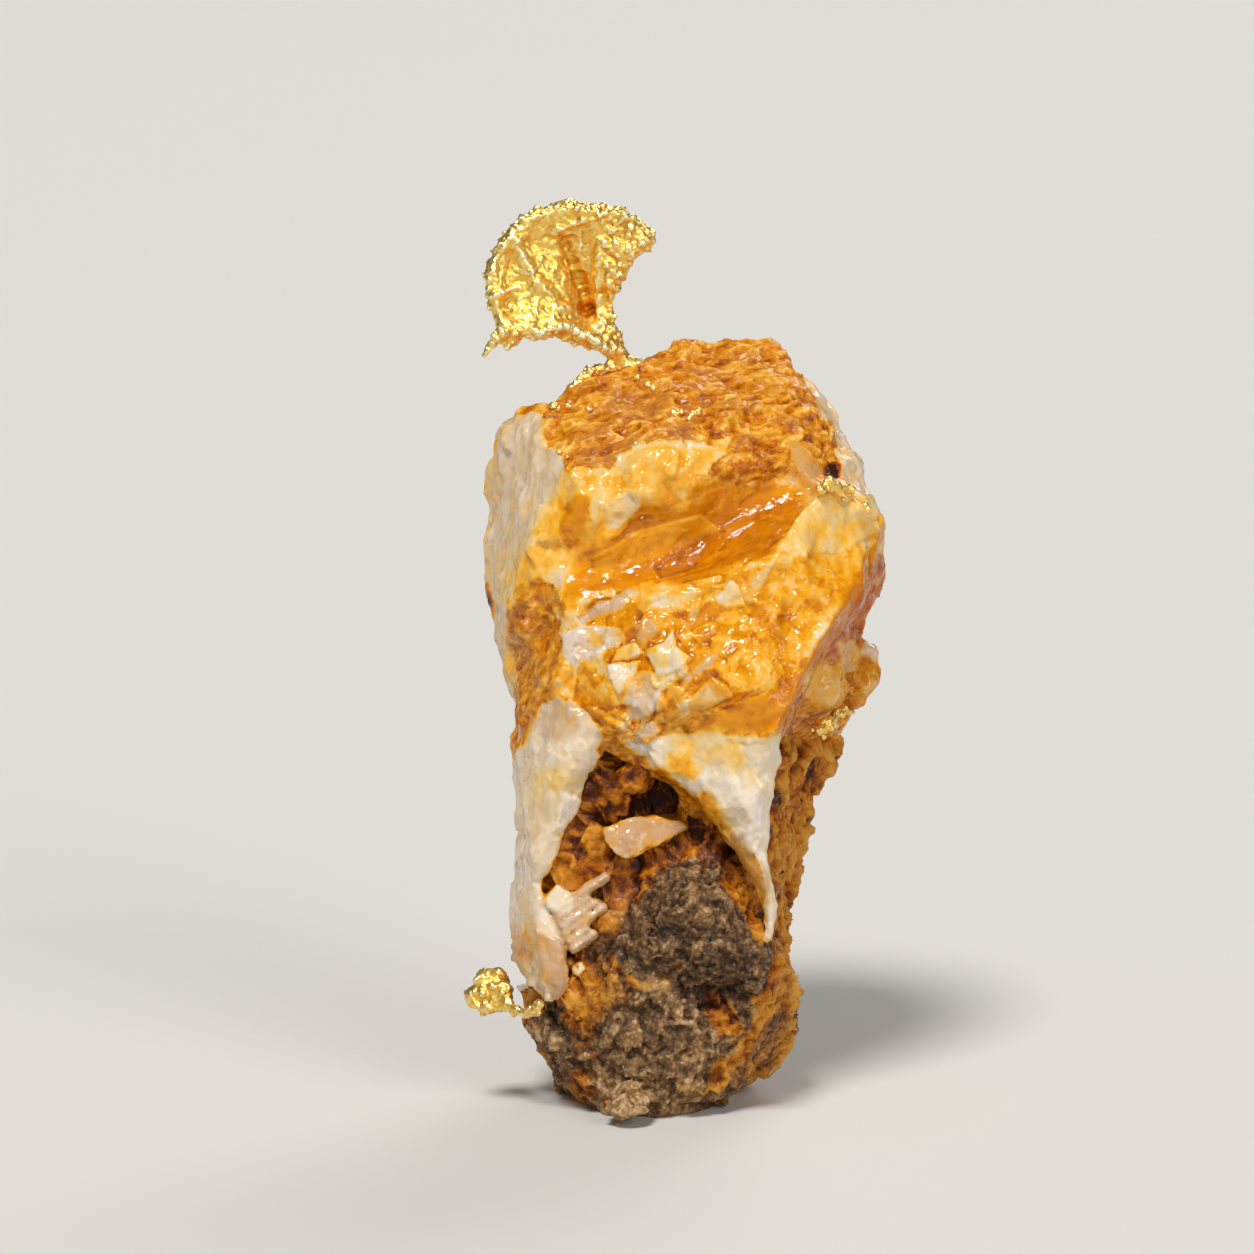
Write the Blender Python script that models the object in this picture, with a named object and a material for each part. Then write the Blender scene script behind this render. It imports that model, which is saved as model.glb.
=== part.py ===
"""Gold in quartz: a hand specimen that stands on a flat of its wall rock.

Every spot is three real sizes in millimetres, as the specimen is seen from the front: how far right
of the middle of the foot, how far up the view, and how near it is to the eye. spot() turns them into
the model's own metres, with +Z up and the eye on the -Y side, a little above the level.
"""
import math

import bmesh
import bpy
from mathutils import Vector, noise
from mathutils.geometry import delaunay_2d_cdt

MM = 0.001
VIEW_DISTANCE = 335.0
VIEW_TILT = math.radians(8.0)
VIEW_RIGHT = -3.0
VIEW_UP = 31.5

# Room left between two pieces that touch, and the voxels that fuse each piece's shapes.
GAP = 0.4
QUARTZ_VOXEL = 0.4
ROCK_VOXEL = 0.45
GOLD_VOXEL = 0.22
ROOM_VOXEL = 0.35

QUARTZ_TRIANGLES = 4200
ROCK_TRIANGLES = 2800
ROOM_TRIANGLES = 1500
LEAF_TRIANGLES = 1300
NUGGET_TRIANGLES = 400
GRAIN_TRIANGLES = 240

# The relief of each surface: how wide a form is, and how far it stands out, in millimetres.
LARGE_CHIPS = (5.5, 0.7)
SMALL_CHIPS = (2.2, 0.3)
QUARTZ_PLATES = (3.6, 0.6)
QUARTZ_BENDS = (4.0, 1.2)
ROCK_BLOCKS = (4.0, 0.6)
ROCK_CRUMBS = (1.5, 0.35)
ROCK_PLATES = (3.0, 0.5)
ROCK_BENDS = (3.0, 1.5)
GOLD_DENTS = (0.8, 0.14)
GOLD_NUBS = (0.9, 0.1)
MEAN_SCOOP = 0.35

# Points closer together than this count as one: in the flat view in millimetres, and at the floor in metres.
SAME_SPOT = 1e-4
SAME_LEVEL = 1e-7

# The number that settles how the ridges bend, so that every build gives the same stone.
BEND_SEED = 1

# The relief is shallower on the front of the quartz than behind it, and on its thin flaps than above them.
FRONT_SHARE = 0.5
FRONT_TO_BACK = (-7, -1)
FLAP_SHARE = 0.4
FLAPS_TO_BODY = (18, 26)

# A grain of gold is this much less deep and less tall than it is wide.
GRAIN_DEPTH = 0.85
GRAIN_HEIGHT = 0.92

# Colour in linear red, green and blue, roughness and metallic value.
QUARTZ_FINISH = ((0.76, 0.50, 0.25), 0.35, 0.0)
ROCK_FINISH = ((0.24, 0.15, 0.09), 0.85, 0.0)
GOLD_FINISH = ((0.90, 0.58, 0.12), 0.3, 1.0)

# The quartz, clockwise from its upper left corner.
QUARTZ_RIM = [
    # over the top
    (-11, 46.5, -1), (-8.9, 46.3, 0), (-7.3, 46.6, -1), (-6.1, 47.7, -2), (-4.7, 48.3, -2.6),
    (-2.3, 48.5, -3), (-1.5, 49.8, -3.6), (0, 50.7, -4), (3.3, 51.1, -4.5), (4.7, 50.9, -4.6),
    (6.6, 51.1, -4.5),
    # down the right shoulder and the side face
    (8.4, 49.3, -4), (10.3, 46.5, -3.5), (12.1, 43.9, -2.4), (12.8, 42.5, -1.6), (13.3, 40.6, -0.4),
    (14.4, 39, 0.6), (14, 37, -0.6), (14.7, 35, -2), (13.9, 33.3, -2.6), (12.9, 31.4, -3),
    # round the knobs behind the ridge
    (12.7, 30.2, -3), (12.9, 28.6, -3), (12.4, 26.8, -3.2), (11.8, 25.6, -3.4), (11.1, 24.2, -3.4),
    (9.3, 23.5, -2.6), (8, 23.7, 1),
    # down the right flap to its tip, and up its inner edge
    (7.1, 24.2, 7.5), (7, 21.7, 8.2), (6.8, 18.7, 8), (6.5, 16.6, 7.8), (6.6, 14.8, 7.6), (7.2, 13.3, 7.4),
    (7.1, 11.5, 7.2), (6.5, 9.5, 7), (5.4, 10.5, 6.9), (5.9, 11.9, 6.9), (5.7, 13.5, 7), (4.8, 15.6, 7),
    (3.6, 16.8, 6.9), (2.4, 18.5, 6.6),
    # the chip that lies across the recess
    (1.1, 18, 3.6), (-1.6, 16.8, 4.2), (-3.8, 16.2, 4.6), (-4.7, 17.2, 4.4), (-4.8, 18.1, 4),
    (-2.4, 18.9, 3.4), (0.3, 19.2, 3.4),
    # the roof of the recess
    (-0.4, 20.8, 6.2), (-2.5, 22, 6.3), (-3.6, 22.9, 6.4), (-4.6, 23.6, 6.6),
    # down the inner edge of the left flap, and round its foot
    (-5, 22.1, 6.4), (-5.8, 20.5, 6.2), (-6, 18.7, 6), (-7.1, 17.6, 5.9), (-7.5, 16, 5.7),
    (-8.5, 14.6, 5.2), (-8.3, 13.3, 5.2), (-7.2, 11.5, 5.8), (-6.9, 9.5, 6.1), (-6.7, 7, 6.1),
    (-7.2, 6.1, 5.8), (-8.7, 5.9, 5.2), (-9.5, 6.7, 4.2),
    # up the left side
    (-11.1, 8.9, 1), (-11.3, 11.9, 0.4), (-10.9, 15, 0), (-10.7, 20.1, 0), (-10.9, 23.9, 0),
    (-10.7, 27, -0.4), (-11.7, 30.4, -1.6), (-12.7, 33.9, -3), (-12.6, 39.2, -3.6), (-12.7, 40, -3.6),
    (-12.4, 43.7, -3), (-11.6, 45.1, -2),
]

QUARTZ_FRONT = {
    "crest of the top slope": [
        (-8.8, 46, 1), (-8.4, 43.6, 4), (-7.7, 43.1, 5), (-7, 42, 6), (-6.2, 42.2, 6.2),
        (-4.1, 42, 6.6), (-3.5, 43, 6.2), (-1.3, 43.9, 5.8), (1.7, 43.6, 5.6), (4.1, 44.2, 5),
        (5.3, 45.5, 3.6), (7.7, 47.6, 1)],
    "rusty top slope": [
        (-6.5, 45.3, 2.6), (-4.5, 47, 1.2), (-1.5, 48.5, -1.6), (1.2, 49.9, -3), (4.9, 49.9, -3),
        (7.9, 48.3, -1.6)],
    "middle of the slope": [(-3.5, 44.7, 4.2), (-0.1, 46.3, 2.6), (3.2, 47, 1.4)],
    "right end of the slope": [(9.1, 47.2, -0.2), (9.8, 45.3, 0.8), (10.7, 43.7, 1.2), (10.3, 42, 2.4)],
    "white shoulder": [(11.5, 43, 0.2), (12.3, 41.3, 1)],
    "white knob": [(8.2, 43.6, 3.4), (8.9, 42, 4.8), (9.3, 40.4, 5)],
    "edge of the left face": [
        (-7, 42, 6), (-8.5, 38.7, 5.4), (-9.5, 37, 5), (-10.1, 34, 4.4), (-10.9, 31.9, 3)],
    "left face": [(-11.1, 44, 0.4), (-10.7, 40, 1.2), (-11.3, 36, 0.4)],
    "cream band": [(-5.8, 40, 6.8), (-4, 40, 7.3), (-1.5, 41.5, 7.2), (1.2, 42.1, 6.7), (3.9, 42.7, 6)],
    "amber patch": [(-6.5, 37, 5.6)],
    "top of the trough": [
        (-5.1, 37, 6.6), (-3.2, 38.9, 6.8), (-1.8, 39.7, 6.8), (0.5, 39.7, 6.5), (2.1, 41.1, 6.3),
        (5.9, 42.1, 5)],
    "floor of the trough": [
        (-4.8, 35.2, 5.4), (-1.5, 36, 5), (1.9, 37.7, 4.6), (5.2, 39.3, 4.4), (7.9, 39.7, 4.6)],
    "foot of the trough": [
        (-7.3, 33.3, 6.4), (-4.8, 33.9, 7), (-2.1, 34, 7.4), (1.2, 34.3, 7.8), (4.2, 35.2, 8.4),
        (6.8, 36.2, 9)],
    "top of the raised facet": [
        (6.8, 36.2, 9), (7.3, 37.4, 8.4), (8.4, 38.8, 7.4), (9.3, 39.8, 6.8), (10.4, 40.9, 6),
        (12.1, 40.6, 4), (13.3, 40.1, 2.4)],
    "crease of the raised facet": [(6.8, 36.2, 9), (8.6, 36.6, 8.2), (11.4, 36.2, 6.4), (12.9, 37.3, 4.2)],
    "sharp right ridge": [
        (14.1, 38.3, 1.8), (13.9, 37.5, 2.6), (13.1, 36, 5), (12.1, 33.6, 7), (10.5, 31.3, 8.8),
        (9, 28.7, 10), (7.7, 25.9, 11), (7.1, 24.5, 11.4)],
    "side face": [(14, 35.9, 0.6), (13.3, 34, 1), (12.2, 32, 2.6)],
    "behind the ridge": [
        (9.3, 27.3, 3), (10.4, 28.6, 3), (11.6, 29.6, 1.6), (11.4, 26.4, 1.4), (9.6, 25.4, 2)],
    "middle of the front": [(-5.5, 30.7, 7.8), (-2.1, 31.3, 8.8), (1.9, 31.7, 9.2), (5.9, 32.7, 9.4)],
    "rusty dip": [(-4.5, 32.9, 6.4)],
    "lower front": [(-4.8, 28, 8), (-3, 27, 9), (-1.2, 26.4, 9.8), (1.9, 27.6, 10.8), (5.4, 27.6, 11.4)],
    "ledge": [
        (-5.5, 25.8, 8), (-4, 24.8, 8.2), (-2.1, 24.4, 8.7), (-0.6, 24.5, 9), (2.1, 24.5, 9.7),
        (4.9, 24.5, 10.5), (7.1, 24.5, 11.2)],
    "under the ledge": [
        (-2.8, 23.5, 8), (-0.5, 23.9, 8.7), (2.1, 23.8, 9.5), (4.9, 23.7, 10.2), (6.7, 23.6, 10.5)],
    "crest of the right flap": [
        (1.2, 22, 9), (3.2, 20, 9.3), (5.1, 17.3, 9.1), (6.1, 15, 8.8), (6.5, 13, 8.3), (6.5, 11, 7.9)],
    "right flap, inside": [(-0.8, 22.1, 8), (1.9, 20, 8.3)],
    "right flap, outside": [(5.9, 21.7, 10.5), (5.7, 18.7, 9.9)],
    "right edge of the brown lens": [
        (-7.7, 34.5, 5.8), (-7.1, 32.3, 6.6), (-7.4, 30.1, 6.8), (-8.4, 27.4, 6.6), (-9.5, 24.1, 4.6)],
    "middle of the brown lens": [(-9.8, 32.7, 3.4), (-9.5, 30, 4), (-9.6, 27.3, 3.6)],
    "crest of the left flap": [
        (-6.5, 25.7, 7.8), (-7.5, 23.7, 7.8), (-8.3, 20.7, 7.2), (-9.1, 17.3, 6.2), (-9.6, 14, 5.2),
        (-8.8, 11, 6.2), (-8.3, 8, 6.6)],
    "left flap, outside": [(-9.9, 21.3, 4.2), (-10, 16.7, 3.8), (-10.4, 13.3, 2.8), (-10.1, 10, 3.6)],
    "left flap, inside": [(-5.8, 23.3, 7.5), (-6.9, 20, 7), (-7.8, 17.3, 6.4), (-9, 13.6, 5.6)],
    "top of the chip": [(-4.1, 17.5, 5.6), (-2.1, 18.1, 5), (0.5, 18.5, 4.6)],
    "foot of the chip": [(-3.5, 16.7, 6), (-1.5, 17.5, 5.4)],
}

# Rounded knobs behind the ridge: middle, then half the width, depth and height.
QUARTZ_KNOBS = [
    ((10.1, 27.6, 3.4), (1.5, 1.6, 1.8)), ((11.1, 29.5, 2.6), (1.0, 1.2, 0.9)),
    ((13.0, 29.9, -0.6), (0.9, 1.2, 0.9)), ((12.9, 28.3, -0.2), (1.0, 1.3, 1.1)),
    ((12.2, 26.8, 0.4), (1.0, 1.2, 0.9)),
]

QUARTZ_BACK = {
    "back of the top": [(-7.5, 44, -6), (-2, 46, -7.6), (4, 47.5, -7.6), (9, 44.5, -6.6)],
    "upper back": [(-9.5, 40, -6.4), (-4, 41, -9.6), (2, 42, -10.4), (8, 40.5, -9), (11.8, 38, -5.6)],
    "middle of the back": [
        (-9.6, 34, -6), (-4.5, 36, -10.6), (1.5, 35.5, -11.2), (7.5, 35.5, -10), (12, 33.5, -6)],
    "lower edge of the back": [
        (-8.4, 29.8, -5.6), (-3, 31, -10), (3, 31, -10.4), (9, 30.5, -8.4), (12, 28.6, -5)],
    "seat on the wall rock": [(-8.6, 27.6, -2), (-3.2, 28.2, -4.2), (3, 27.8, -4.4), (8.6, 26.8, -4)],
    "behind the ledge": [(-8, 25.4, 1.6), (-2.6, 25.2, 2.4), (2.6, 24.8, 3.4), (6.6, 24.4, 4)],
    "behind the right flap": [(1.6, 21.5, 5.2), (4.8, 20, 5.6), (5.6, 16.4, 5.8), (6.6, 12.6, 6.4)],
    "behind the left flap": [(-8, 21.5, 2.6), (-9, 17, 2.4), (-9.6, 13, 2), (-9, 9.6, 3)],
    "behind the chip": [(-3, 17.6, 2.8), (-0.5, 18.4, 2.2)],
}

# The wall rock, clockwise from the upper left. Its foot runs on below the floor, where it is cut flat.
ROCK_RIM = [
    # its top, hidden behind the quartz, and the rusty right side
    (-10.2, 27.4, -3.4), (-7.6, 30.4, -7), (-2.1, 31.8, -9.4), (3.2, 31.8, -9.6), (8.5, 30.6, -8.2),
    (11.3, 27.4, -6), (11.9, 25.2, -4.5), (11.7, 23.4, -3.4), (11.1, 22.4, -3), (9.5, 19.7, -2.6),
    (8.9, 17, -2.6), (8.5, 14.4, -2.4), (7.9, 11.5, -2), (7.8, 9.5, -1.4),
    # the lump at the lower right, and the foot
    (8.8, 8.5, -0.6), (9.1, 7.5, -0.4), (8.7, 5.8, -0.4), (7.8, 3.4, -1), (6.7, 1.8, -2), (5.1, 1.3, -5),
    (4.3, 0.3, -4), (3.3, -0.8, 0), (1.9, -1.7, 2), (-1.1, -1.9, 3), (-4.8, -1.7, 2), (-6.5, -0.8, -1),
    # up the left side, behind the left flap
    (-7.3, 0.5, -1.6), (-7.9, 1.3, -0.6), (-8.5, 2.3, 0.4), (-9.1, 3.5, 1), (-9.7, 4.3, 1), (-10.1, 5.3, 0),
    (-10.4, 7.3, -2), (-10.5, 10.7, -3.4), (-10.5, 16, -4), (-10.4, 22.7, -4),
]

ROCK_FRONT = {
    "behind the ledge": [
        (-7.5, 25.3, 3), (-3.6, 23.4, 5), (-1.2, 22.8, 4.4), (3.2, 23.2, 5), (6.5, 22.7, 4.4)],
    "back of the recess": [(-2.7, 21.5, 4), (-1.7, 20.9, 3.2), (-0.8, 20, 3.6), (-2.1, 19.5, 4)],
    "rusty lump": [(-5.6, 20, 5.6), (-4.6, 22, 5.8), (-3.4, 21.2, 5.6), (-4, 20, 5.4)],
    "rusty crust by the left flap": [
        (-5.5, 18.3, 5.6), (-6.9, 16.7, 5.8), (-7.8, 14.3, 5.4), (-7.2, 12.5, 5.4)],
    "under the chip": [(-4.8, 15.7, 5.2), (-1.2, 16.2, 5.2)],
    "ribs": [(-5.3, 14.3, 5.2), (-4.7, 13, 5.6), (-6.1, 11.3, 5.6)],
    "behind the right flap": [(4.9, 14.7, 5.6), (5.8, 11.3, 6.2), (6.8, 13.6, 4), (6.6, 18, 4.6)],
    "behind the left flap": [(-8.9, 23, 2.8), (-9.7, 18, 2.8), (-9.9, 13, 2.4), (-9.6, 9, 3.2)],
    "rusty strip": [(8.2, 22.7, 1), (7.9, 18, 0.6), (7.5, 14, 0.6), (7.3, 10.7, 1.4)],
    "shoulder of the strip": [(9.9, 22.7, -1)],
    "top of the grey rock": [
        (-2.4, 13.1, 6.4), (-1.4, 14.6, 6.2), (1.7, 16.2, 6.6), (3.3, 15.6, 6.8), (3.7, 14.7, 7),
        (3.9, 13.5, 7.6), (4.7, 11.5, 8.4), (5.7, 9.9, 9.2), (6.6, 8.7, 9.6)],
    "beside the grey rock": [
        (-3, 13.2, 5.4), (-1.8, 15.2, 5), (1.6, 16.9, 5), (4, 15.8, 5), (4.6, 13.6, 5.6)],
    "prow": [
        (6.6, 8.7, 9.6), (6.4, 8.1, 9.4), (5.7, 7.4, 8.8), (4.5, 7.9, 9.2), (2.7, 8.4, 9.4),
        (0.9, 8.1, 8.8)],
    "grey rock": [(-0.8, 12.7, 8.2), (1.9, 13.3, 8.8), (0.5, 10.3, 9.6), (3.2, 10.7, 9.8), (-1.8, 10, 8.4)],
    "under the prow": [(6.9, 7.6, 4.8), (5.7, 6.6, 5.8), (4.2, 7.1, 5.8), (2.4, 7.6, 6.2), (1.1, 7.2, 6.6)],
    "below the prow": [
        (1.9, 5.3, 7.6), (4.2, 4.7, 6.6), (-1.5, 6.7, 7.8), (-0.8, 3.3, 7.6), (-4.1, 6.7, 7.2)],
    "rusty band": [(6.3, 6, 4.4), (5.7, 3.7, 4.4), (4.7, 1.7, 4.6)],
    "lump at the lower right": [(7.5, 8.3, 1.6), (8.3, 6.7, 1.6), (7.5, 4.3, 1.6)],
    "lower left corner": [(-5.8, 9.3, 6), (-6.7, 6, 5.8), (-7.5, 4.7, 5.6), (-8.5, 4, 4), (-7.7, 2.5, 4)],
    "brown slab": [(-7.1, 2.7, 5), (-6.1, 1, 4.6), (-5.3, 2.7, 6)],
    "foot": [(-4.8, 0, 4.6), (-2.1, 0.5, 6.4), (1.2, 0.1, 5.6), (3.2, 0.7, 5.4)],
    "edge of the foot": [(-4.8, -1.2, 4.4), (-1.5, -1.5, 4.6), (1.9, -1.2, 4)],
}

ROCK_BACK = {
    "top of the back": [(-6.8, 27.4, -9), (-2, 28.4, -11.6), (4, 28.2, -12), (9, 26.6, -9)],
    "upper back": [(-8.4, 20, -8), (-3, 20.5, -11.6), (3, 20, -12), (7.6, 18.5, -8)],
    "middle of the back": [(-8, 13, -7.4), (-2.4, 13.5, -11), (3, 12.5, -10.6), (6.4, 11, -6.6)],
    "lower back": [(-7.8, 6.5, -6), (-3, 6.5, -9.6), (2.6, 6, -9.4), (6.8, 6, -5.6)],
    "edge of the foot": [(-6, 0.2, -5), (-3, 0.4, -8), (1.6, 0.6, -8.2), (4, 0.8, -7)],
    "below the floor": [(-3.6, -1, -4), (1.4, -1, -4)],
}

# The pale flake at the foot is one of the wall rock's lumps: middle, then half its width, depth and height.
FOOT_FLAKE = ((-3.2, -0.35, 7.4), (2.1, 1.6, 0.95))

# The gold leaf, clockwise from the tip of its hook.
LEAF_RIM = [
    (-12.5, 49.7, 2.2), (-12, 50.5, 1.6), (-11.5, 51.3, 1), (-12, 52.3, 0.8), (-12.4, 53, 0.7),
    (-12.5, 54, 0.6), (-12.6, 55, 0.6), (-12.4, 55.9, 0.5), (-11.9, 56.7, 0.4), (-11.3, 57.7, 0.4),
    (-10.8, 58.4, 0.4), (-9.9, 59, 0.3), (-9.1, 59.6, 0.3), (-8.3, 60, 0.2), (-7.9, 59.7, 0),
    (-7.3, 60.2, 0), (-6.4, 60.1, -0.2), (-5.4, 59.9, -0.4), (-4.5, 59.7, -0.6), (-3.5, 59.8, -0.8),
    (-2.5, 59.1, -1), (-1.5, 58.3, -1.2), (-0.9, 57.7, -1.2), (-1.3, 56.4, -1.2), (-2.1, 56.2, -1.2),
    (-2.7, 55.3, -1.2), (-3.3, 54.6, -1.2), (-3.7, 53.3, -1.3), (-3.8, 52.3, -1.4), (-3.4, 51.1, -1.6),
    (-2.9, 49.9, -2), (-2.1, 49.1, -2.4), (-2.9, 48.4, -2.4), (-4.1, 49.2, -1.8), (-5.5, 49.9, -1),
    (-6.9, 50.4, -0.2), (-7.7, 50.7, 0.3), (-8.6, 50.5, 0.8), (-9.5, 50.8, 1), (-10.4, 50.1, 1.4),
    (-11.3, 50.2, 1.6),
]

LEAF_FRONT = {
    "thick rim": [
        (-11.5, 52, 1.4), (-12, 54, 1.3), (-11.9, 55.9, 1.2), (-10.9, 57.5, 1.1), (-9.5, 58.7, 1),
        (-7.8, 59.2, 0.8), (-6.1, 59.4, 0.6), (-4.4, 59, 0.3)],
    "rough right lobe": [
        (-3.5, 59, 0.2), (-2.1, 58.3, -0.1), (-1.8, 57.1, -0.2), (-3.1, 56.1, -0.2), (-4, 54.7, -0.4)],
    "inner bowl": [
        (-10.8, 52.7, 0.6), (-10.9, 55, 0.5), (-10, 56.7, 0.4), (-8.5, 57.7, 0.2), (-6.5, 58, -0.1),
        (-4.8, 57.5, -0.3)],
    "groove": [(-7.1, 56.7, -0.7), (-6.5, 55.3, -1.3), (-5.9, 53.7, -1.8), (-5.3, 52.5, -2)],
    "fold beside the groove": [(-7.8, 56.1, -0.1), (-7.3, 54.3, -0.1), (-6.7, 52.7, -0.6)],
    "bright patch": [(-9.6, 55.5, 0.5), (-8.8, 53.7, 0.4)],
    "lower band": [
        (-11.1, 50.8, 1.9), (-9.5, 51.5, 1.6), (-7.5, 51.5, 0.9), (-5.5, 50.7, -0.2), (-4, 49.9, -1)],
    "stalk": [(-4.4, 52.1, -1), (-3.9, 50.7, -1.2), (-2.9, 49.2, -1.8)],
}
LEAF_THICKNESS = 1.1

# Grains of gold: right, up, near and radius. Each chain is fused into one piece.
SEAM_GRAINS = [
    (-2.3, 48.9, -2.2, 0.62), (-3.1, 48.9, -1.9, 0.5), (-4, 48.8, -1.7, 0.48), (-4.8, 48.7, -1.6, 0.46),
    (-5.5, 48.5, -1.3, 0.48), (-6, 48, -1, 0.5), (-6.4, 47.5, -0.6, 0.46), (-6.9, 46.9, 0, 0.42),
]
NUGGET_GRAINS = [
    (-12.2, 7.2, 3, 1.3), (-12.9, 6.9, 3.1, 1.0), (-11.7, 7.9, 2.9, 0.95), (-11.4, 6.6, 3.5, 0.9),
    (-12.5, 8, 3.3, 0.8), (-12.2, 6.3, 3.6, 0.75), (-11.2, 7.4, 3.9, 0.6),
]
NUGGET_ARM = [
    (-10.9, 6.3, 4.3, 0.5), (-10.3, 5.9, 4.9, 0.45), (-9.7, 5.8, 5.5, 0.45), (-9.2, 6, 6, 0.5),
    (-8.9, 6.3, 6.1, 0.42),
]
CRUST_GRAINS = [
    (9.8, 24.6, 4.2, 0.55), (10.3, 25.1, 3.8, 0.5), (10.7, 25.3, 3.2, 0.45), (10.9, 25.8, 2.8, 0.4),
    (11.4, 26, 2.2, 0.42), (11.9, 25.8, 1.6, 0.4),
]
CREST_GRAINS = [
    (9.9, 40.6, 6.9, 0.42), (10.4, 41.2, 6.5, 0.5), (10.9, 40.9, 5.9, 0.46), (11.4, 40.8, 5.3, 0.38),
    (11.9, 40.7, 4.6, 0.42), (12.5, 40.5, 3.8, 0.36), (13, 40.3, 3.1, 0.4), (13.6, 40.2, 2.3, 0.46),
    (14, 39.7, 1.7, 0.36),
]


def spot(right, up, near):
    """The point that is seen this far right and up from the middle of the foot, this near to the eye."""
    across = Vector((1, 0, 0))
    upward = Vector((0, math.sin(VIEW_TILT), math.cos(VIEW_TILT)))
    towards_eye = across.cross(upward)
    eye = across * VIEW_RIGHT + upward * VIEW_UP + towards_eye * VIEW_DISTANCE
    seen = across * right + upward * up
    return seen.lerp(eye, near / VIEW_DISTANCE) * MM


def triangulate(rim, lines):
    """Joins one side's spots into triangles that keep the rim and every crease as edges."""
    spots = list(rim)
    edges = [(index, (index + 1) % len(rim)) for index in range(len(rim))]
    for line in lines:
        first = len(spots)
        spots += line
        edges += [(index, index + 1) for index in range(first, len(spots) - 1)]
    flat = [Vector((right, up)) for right, up, near in spots]
    points, _, faces, sources, _, _ = delaunay_2d_cdt(flat, edges, [list(range(len(rim)))], 1, SAME_SPOT)
    depths = []
    for point, source in zip(points, sources):
        if source:
            depths.append(spots[source[0]][2])
            continue
        weights = [1 / (SAME_SPOT + (point - known).length_squared ** 2) for known in flat]
        total = sum(weight * known[2] for weight, known in zip(weights, spots))
        depths.append(total / sum(weights))
    return points, depths, faces, [source[0] if source else -1 for source in sources]


def relief(rim, front, back):
    """A closed body between a front and a back that share one rim."""
    shape = bmesh.new()
    shared = [shape.verts.new(spot(*point)) for point in rim]
    sides = []
    for lines in (front, back):
        points, depths, faces, sources = triangulate(rim, lines.values())
        corners = []
        for point, depth, source in zip(points, depths, sources):
            on_rim = 0 <= source < len(rim)
            corners.append(shared[source] if on_rim else shape.verts.new(spot(point.x, point.y, depth)))
        sides.append([[corners[index] for index in face] for face in faces])
    flat_in_front = {frozenset(face) for face in sides[0]}
    flat_at_back = {frozenset(face) for face in sides[1]}
    for face in sides[0]:
        if frozenset(face) not in flat_at_back:
            shape.faces.new(face)
    for face in sides[1]:
        if frozenset(face) not in flat_in_front:
            shape.faces.new(reversed(face))
    loose = [vert for vert in shape.verts if not vert.link_faces]
    bmesh.ops.delete(shape, geom=loose, context="VERTS")
    return shape


def lump(middle, halves, turn=0.0):
    """A rounded body round a spot, with half its width, depth and height in millimetres."""
    shape = bmesh.new()
    bmesh.ops.create_icosphere(shape, subdivisions=2, radius=1.0)
    for vert in shape.verts:
        vert.co = Vector((vert.co.x * halves[0], vert.co.y * halves[1], vert.co.z * halves[2])) * MM
        across = vert.co.x * math.cos(turn) - vert.co.z * math.sin(turn)
        upward = vert.co.x * math.sin(turn) + vert.co.z * math.cos(turn)
        vert.co.x = across
        vert.co.z = upward
    bmesh.ops.translate(shape, vec=spot(*middle), verts=shape.verts)
    return shape


def grain(right, up, near, radius):
    """One grain of gold: a lump that is a little flatter on one side than on the other."""
    return lump((right, up, near), (radius, radius * GRAIN_DEPTH, radius * GRAIN_HEIGHT), turn=right + up)


def settle(thing):
    """Bakes an object's modifiers into its mesh."""
    evaluated = thing.evaluated_get(bpy.context.evaluated_depsgraph_get())
    baked = bpy.data.meshes.new_from_object(evaluated)
    thing.modifiers.clear()
    old = thing.data
    thing.data = baked
    bpy.data.meshes.remove(old)


def fuse(name, shapes, voxel):
    """Joins closed shapes into one skin of small even faces."""
    joined = bpy.data.meshes.new(name)
    together = bmesh.new()
    for shape in shapes:
        shape.to_mesh(joined)
        together.from_mesh(joined)
        shape.free()
    together.to_mesh(joined)
    together.free()
    thing = bpy.data.objects.new(name, joined)
    bpy.context.scene.collection.objects.link(thing)
    skin = thing.modifiers.new("Fuse", "REMESH")
    skin.mode = "VOXEL"
    skin.voxel_size = voxel * MM
    settle(thing)
    return thing


def roughen(thing, offset):
    """Moves each vertex along its normal by offset(place), all in millimetres."""
    mesh = thing.data
    normals = [vert.normal.copy() for vert in mesh.vertices]
    for vert, normal in zip(mesh.vertices, normals):
        vert.co += normal * offset(vert.co / MM) * MM


def scoops(place, form, shift=(0, 0, 0)):
    """Shell-shaped chips: each is lowest in its middle and rises to the sharp ridge round it."""
    size, depth = form
    nearest = noise.voronoi((place + Vector(shift)) / size)[0][0]
    return depth * (nearest * nearest - MEAN_SCOOP)


def plates(place, form, shift=(0, 0, 0)):
    """Plates that lie a little aslant and meet in low steps."""
    size, depth = form
    scaled = (place + Vector(shift)) / size
    corner = noise.voronoi(scaled)[1][0]
    slant = noise.cell_vector(corner * 7.3) * 2 - Vector((1, 1, 1))
    return depth * slant.dot(scaled - corner)


def bend(place, form):
    """The place moved a little, so that ridges which would be straight bend."""
    size, reach = form
    return place + noise.noise_vector(place / size) * reach


def share(value, low, high):
    """How far value has come from low to high, from 0 to 1."""
    return min(max((value - low) / (high - low), 0.0), 1.0)


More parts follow.
